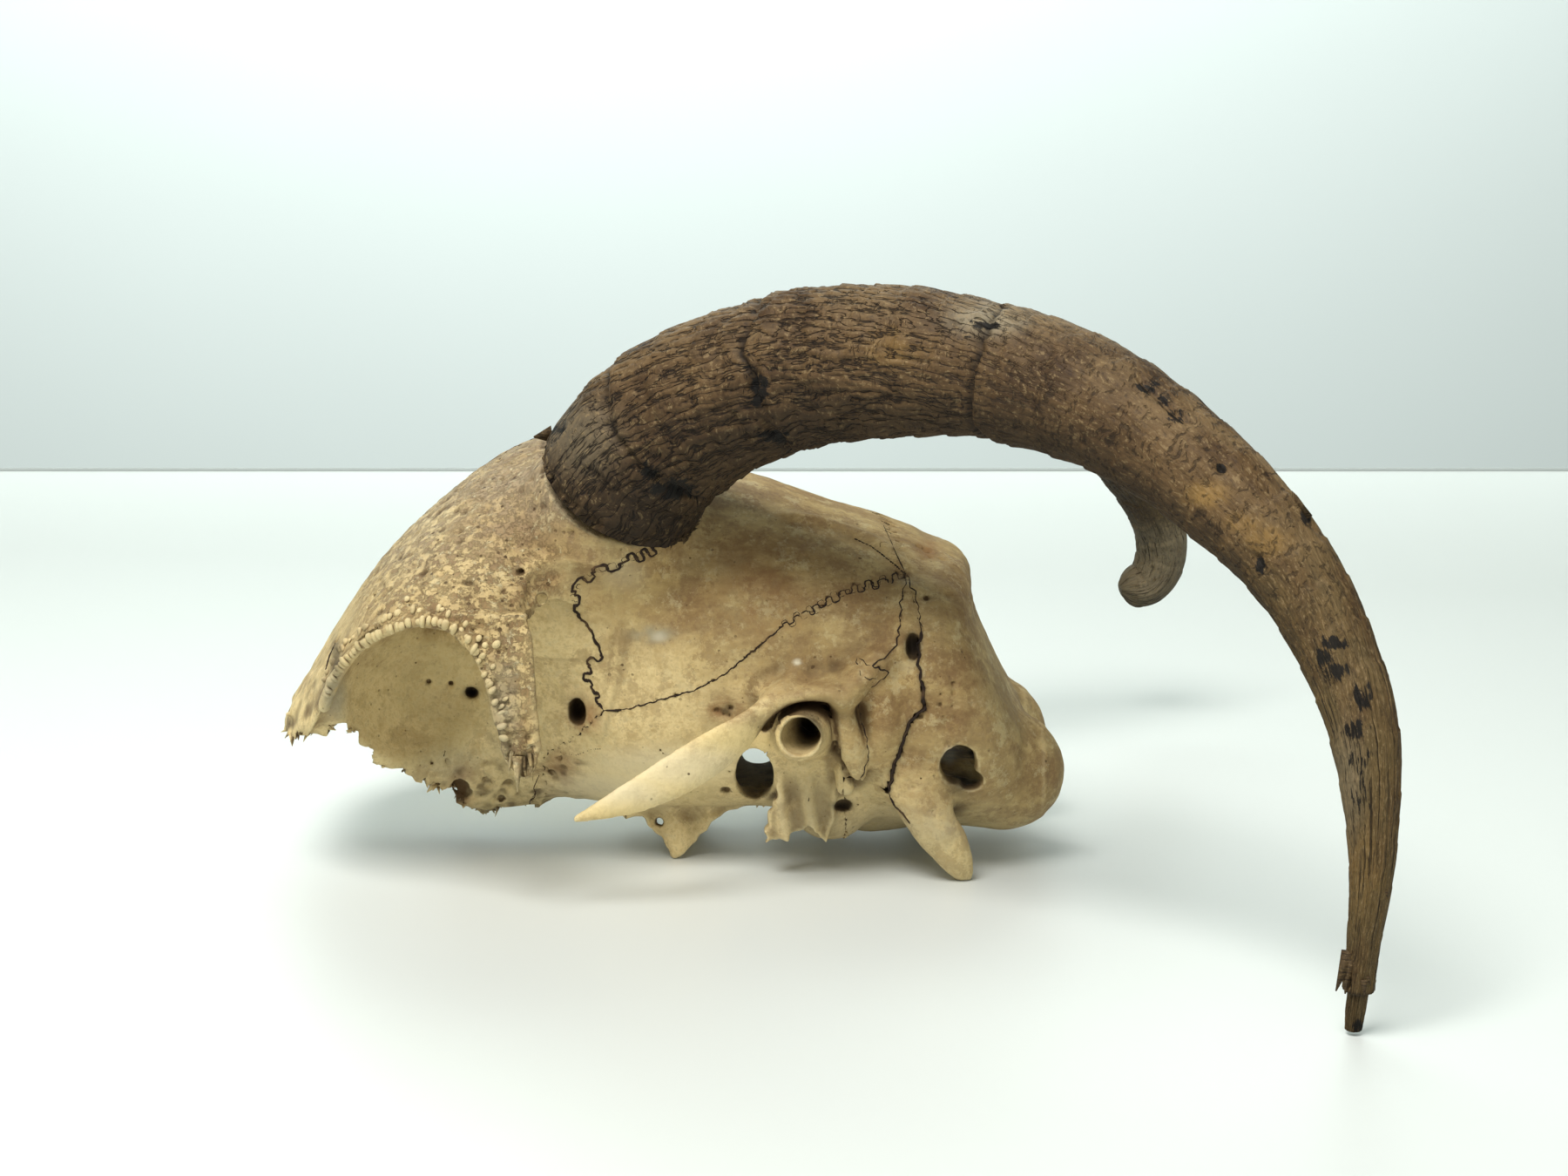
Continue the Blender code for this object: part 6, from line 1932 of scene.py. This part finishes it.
# Cracks and dents in the near sheath: pixels across and down, half width and depth in mm.
DENTS = ((((1402, 538),), 0.8, 1.2), (((1310, 436), (1330, 456), (1346, 470), (1364, 484)), 0.6, 0.7),
         (((1487, 575), (1498, 590), (1509, 606)), 0.7, 0.9),
         (((1547, 1108), (1546, 1120), (1545, 1132)), 0.5, 1.6),
         (((1098, 372), (1118, 366), (1142, 374)), 0.5, 0.5),
         (((1110, 352), (1132, 358), (1152, 350)), 0.5, 0.5),
         (((866, 428), (868, 448), (876, 470), (888, 500)), 0.9, 0.8),
         (((768, 552), (786, 566), (802, 572)), 0.9, 0.7), (((1442, 640), (1448, 650)), 0.6, 0.5),
         (((1000, 414), (1030, 412), (1062, 416)), 0.35, 0.3))
RISES = ((((1478, 570), (1488, 580), (1500, 596)), 1.1, 0.5), (((1120, 360), (1136, 364)), 1.0, 0.35))


def seen_at(pixels, points, normals):
    """The points of a sheath that show at pixels of the photograph."""
    across, down, _ = in_photo(points)
    hidden = np.where(normals @ AHEAD < -0.2, 0.0, 1e6)
    return [points[np.argmin((across - u) ** 2 + (down - v) ** 2 + hidden)] for u, v in pixels]


def near_line(line, points):
    """How far points are from a line through a few points."""
    line = spaced(line, 0.3) if len(line) > 1 else np.array(line)
    return np.sqrt(np.min([((points - p) ** 2).sum(1) for p in line], axis=0))


def growth_pauses():
    """How far from the base growth paused, in metres, read off the near horn's outline."""
    line = through(HORNS[-1], PATH_STEP) * (1.0, -1.0, 1.0, 1.0)
    way = unit(np.gradient(line[:, :3], axis=0))
    out = unit((way @ AHEAD)[:, None] * way - AHEAD)
    across, down, _ = in_photo(line[:, :3] + 0.5 * line[:, 3:] * out)
    return {key: float(np.argmin((across - u) ** 2 + (down - v) ** 2)) * PATH_STEP * MM
            for key, (u, v) in STEPS.items()}


# %% Grow the sheaths
keratin = horn_material("horn_sheath")
tree = sheath_tree()
STAINS_AND_SHADE.update({"horn_" + kind: marks for kind, marks in HORN_STAINS_AND_SHADE.items()})
sheaths = {}
pauses = growth_pauses()
print("Growth paused", [round(pause / MM, 1) for pause in pauses.values()], "mm from the base")
for name, side in SIDES.items():
    near = side < 0
    source = horn_path("horn_path_" + name, side)
    across = [float(p) for p in CURL_PLANE * (1.0, side, 1.0)]
    inputs = {"Sides": 224, "Across": across, **pauses,
              "Squash": HORN_SQUASH, "Twist": 6.0 * side, "Step height": 0.0005, "Groove depth": 0.0006,
              "Ring depth": 0.00035, "Ring spacing": 0.0072, "Wrinkle depth": 0.00035,
              "Lump height": 0.0011 if near else 0.0018, "Fibre depth": 0.0004, "Ragged rim": 0.0075,
              "Variety": 0.31 if near else 0.77, "Material": keratin}
    sheath = plain_result(source, tree, "dressed_horn_" + name, inputs)
    mesh = sheath.data
    points, normals = points_of(mesh)
    if near:
        moved = points.copy()
        for marks, way in ((DENTS, -1.0), (RISES, 1.0)):
            for pixels, wide, deep in marks:
                away = near_line(seen_at(pixels, points, normals), points)
                moved += way * normals * (deep * np.exp(-(away / wide) ** 2))[:, None]
        mesh.vertices.foreach_set("co", ((moved + SHIFT) * MM).astype(np.float32).ravel())
        mesh.update()
        points, normals = points_of(mesh)
    facing = facing_camera(normals) * near
    story = {kind: stain_and_shade("horn_" + kind, points, facing) for kind in HORN_STAINS_AND_SHADE}
    bleached = 0.14 * soft(points[:, 0], 45.0, 80.0) * (1.0 if near else 0.3)
    story["tan"] = np.maximum(story["tan"], bleached)
    if not near:
        story["grey"] = 0.55 * soft(-points[:, 2], -51.0, -44.0)
    # Painted shade on faces of the sheath that look down.
    story["hollow"] = soft(-normals[:, 2], -0.1, 0.8)
    # Dust and painted top light on faces that look up.
    story["dust_and_top_light"] = soft(normals[:, 2], 0.1, 0.9)
    put_values(mesh, story)
    mesh.shade_smooth()
    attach(sheath, "root")
    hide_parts("horn_" + name)
    sheaths[name] = points, normals
    print(sheath.name, len(mesh.polygons), "faces, lowest point", round(float(points[:, 2].min()), 2), "mm")

# %% Splinters at the ends of the near sheath, and flakes on its rim
# Each splinter: pixels across and down, the way it points, and half width, half thickness and length.
HORN_SPLINTERS = (((1549, 1096), (-0.30, 0.0, -0.95), (1.3, 0.7, 6.0)),
                  ((1552, 1104), (-0.16, 0.0, -1.0), (1.3, 0.8, 5.0)),
                  ((1556, 1128), (-0.1, 0.0, -1.0), (0.7, 0.4, 2.2)),
                  ((1566, 1128), (0.05, 0.0, -1.0), (0.6, 0.4, 2.4)),
                  ((1591, 1024), (0.3, 0.0, -0.9), (0.4, 0.25, 1.4)),
                  ((1571, 1124), (0.3, 0.0, -0.9), (0.35, 0.25, 1.4)),
                  ((1496, 594), (-0.42, -0.1, 0.9), (1.2, 0.35, 4.2)),
                  ((628, 497), (-0.9, -0.2, -0.1), (1.6, 0.7, 3.0)))
FLAKES = 46
for name, side in SIDES.items():
    points, normals = sheaths[name]
    centre, axis, _, _ = base_frame(side)
    height = (points - centre) @ axis
    rim = np.nonzero((height < -0.1) | ((height < 0.6) & (np.abs(normals @ axis) < 0.5)))[0]
    chosen = rng.choice(rim, FLAKES, replace=False)
    places, leans = points[chosen], normals[chosen] * 0.35 - axis + rng.normal(0.0, 0.2, (FLAKES, 3))
    broad = sizes_between(FLAKES, (0.5, 1.1), (0.2, 0.35))
    sizes = np.column_stack((broad, 0.5 + 1.4 * rng.random(FLAKES) ** 2))
    if side < 0:
        extra = [(seen_at([pixel], points, normals)[0], lean, size) for pixel, lean, size in HORN_SPLINTERS]
        places, leans, sizes = [np.concatenate((rows, more)) for rows, more
                                in zip((places, leans, sizes), zip(*extra))]
    leans = unit(leans)
    places = places - leans * 0.4
    flakes = scatter("horn_splinters_" + name, splinter_tree, places, leans, sizes, keratin,
                     "horn_sheath", 0.1).data
    spots, _ = points_of(flakes)
    # The flakes get an even share of the painted shade.
    put_values(flakes, {"along": np.full(len(spots), 0.14), "hollow": np.full(len(spots), 0.25),
                        "skin": spots * MM})

# %% [markdown]
# ## The table, the wall and the light
#
# The skull lies on a pale table whose back edge shows as a thin line, with a pale wall behind.
# The line is a grey strip at the back edge: painted shadow of the gap between table and wall.
# The light is broad and soft and comes mostly from above, so it is made with large area lights
# and a bright surrounding.

# %% Table and wall
def plain_material(name, tint, roughness):
    draw = Finish(name)
    base = draw.mix(draw.grain(0.35, 2.0) * 0.5, tint, tuple(c * 0.94 for c in tint[:3]) + (1.0,))
    return draw.done(Base_Color=base, Roughness=roughness)


def flat_board(name, low, high, material):
    """A plain board between two corners, in metres."""
    corners = [(x, y, z) for x in (low[0], high[0]) for y in (low[1], high[1]) for z in (low[2], high[2])]
    faces = ((0, 1, 3, 2), (4, 6, 7, 5), (0, 4, 5, 1), (2, 3, 7, 6), (0, 2, 6, 4), (1, 5, 7, 3))
    mesh = bpy.data.meshes.new(name)
    mesh.from_pydata(corners, [], faces)
    mesh.materials.append(material)
    return put_in_scene(name, mesh)


TABLE_BACK = 0.641
table = flat_board("table", (-3.0, -3.0, -0.03), (3.0, TABLE_BACK, 0.0),
                   plain_material("table_top", colour(222, 226, 221), 0.45))
# Painted shadow: a thin grey strip along the table's back edge.
strip = flat_board("table_edge_shadow", (-3.0, TABLE_BACK + 0.0005, -0.03), (3.0, TABLE_BACK + 0.0015, 0.0014),
                   plain_material("edge_strip", colour(206, 213, 210), 0.8))
wall = flat_board("wall", (-5.0, 1.9, -2.0), (5.0, 1.95, 4.0),
                  plain_material("wall", colour(226, 236, 232), 0.8))

# %% Lights
bpy.context.scene.view_settings.view_transform = "Standard"


def soft_light(name, place, aim, size, power, tint=(1.0, 1.0, 1.0)):
    lamp = bpy.data.lights.new(name, "AREA")
    lamp.shape, lamp.size, lamp.energy, lamp.color = "SQUARE", size, power, tint
    holder = put_in_scene(name, lamp)
    holder.location = place
    holder.rotation_euler = (Vector(aim) - Vector(place)).to_track_quat("-Z", "Y").to_euler()


soft_light("overhead", (-0.26, -0.53, 0.95), (-0.06, -0.20, 0.02), 0.55, 12.8, (1.0, 0.99, 0.97))
soft_light("front_fill", (0.35, -1.3, 0.7), (0.0, 0.0, 0.04), 1.0, 2.6, (1.0, 1.0, 0.98))
soft_light("wall_wash", (-0.3, 1.0, 1.7), (-0.15, 1.9, 1.38), 1.2, 68.0, (0.97, 1.0, 1.0))
surrounding = bpy.data.worlds.new("surrounding")
surrounding.use_nodes = True
backdrop = surrounding.node_tree.nodes["Background"]
backdrop.inputs["Color"].default_value = (0.90, 0.97, 0.95, 1.0)
backdrop.inputs["Strength"].default_value = 0.24
bpy.context.scene.world = surrounding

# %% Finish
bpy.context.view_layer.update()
note("The whole script is done")
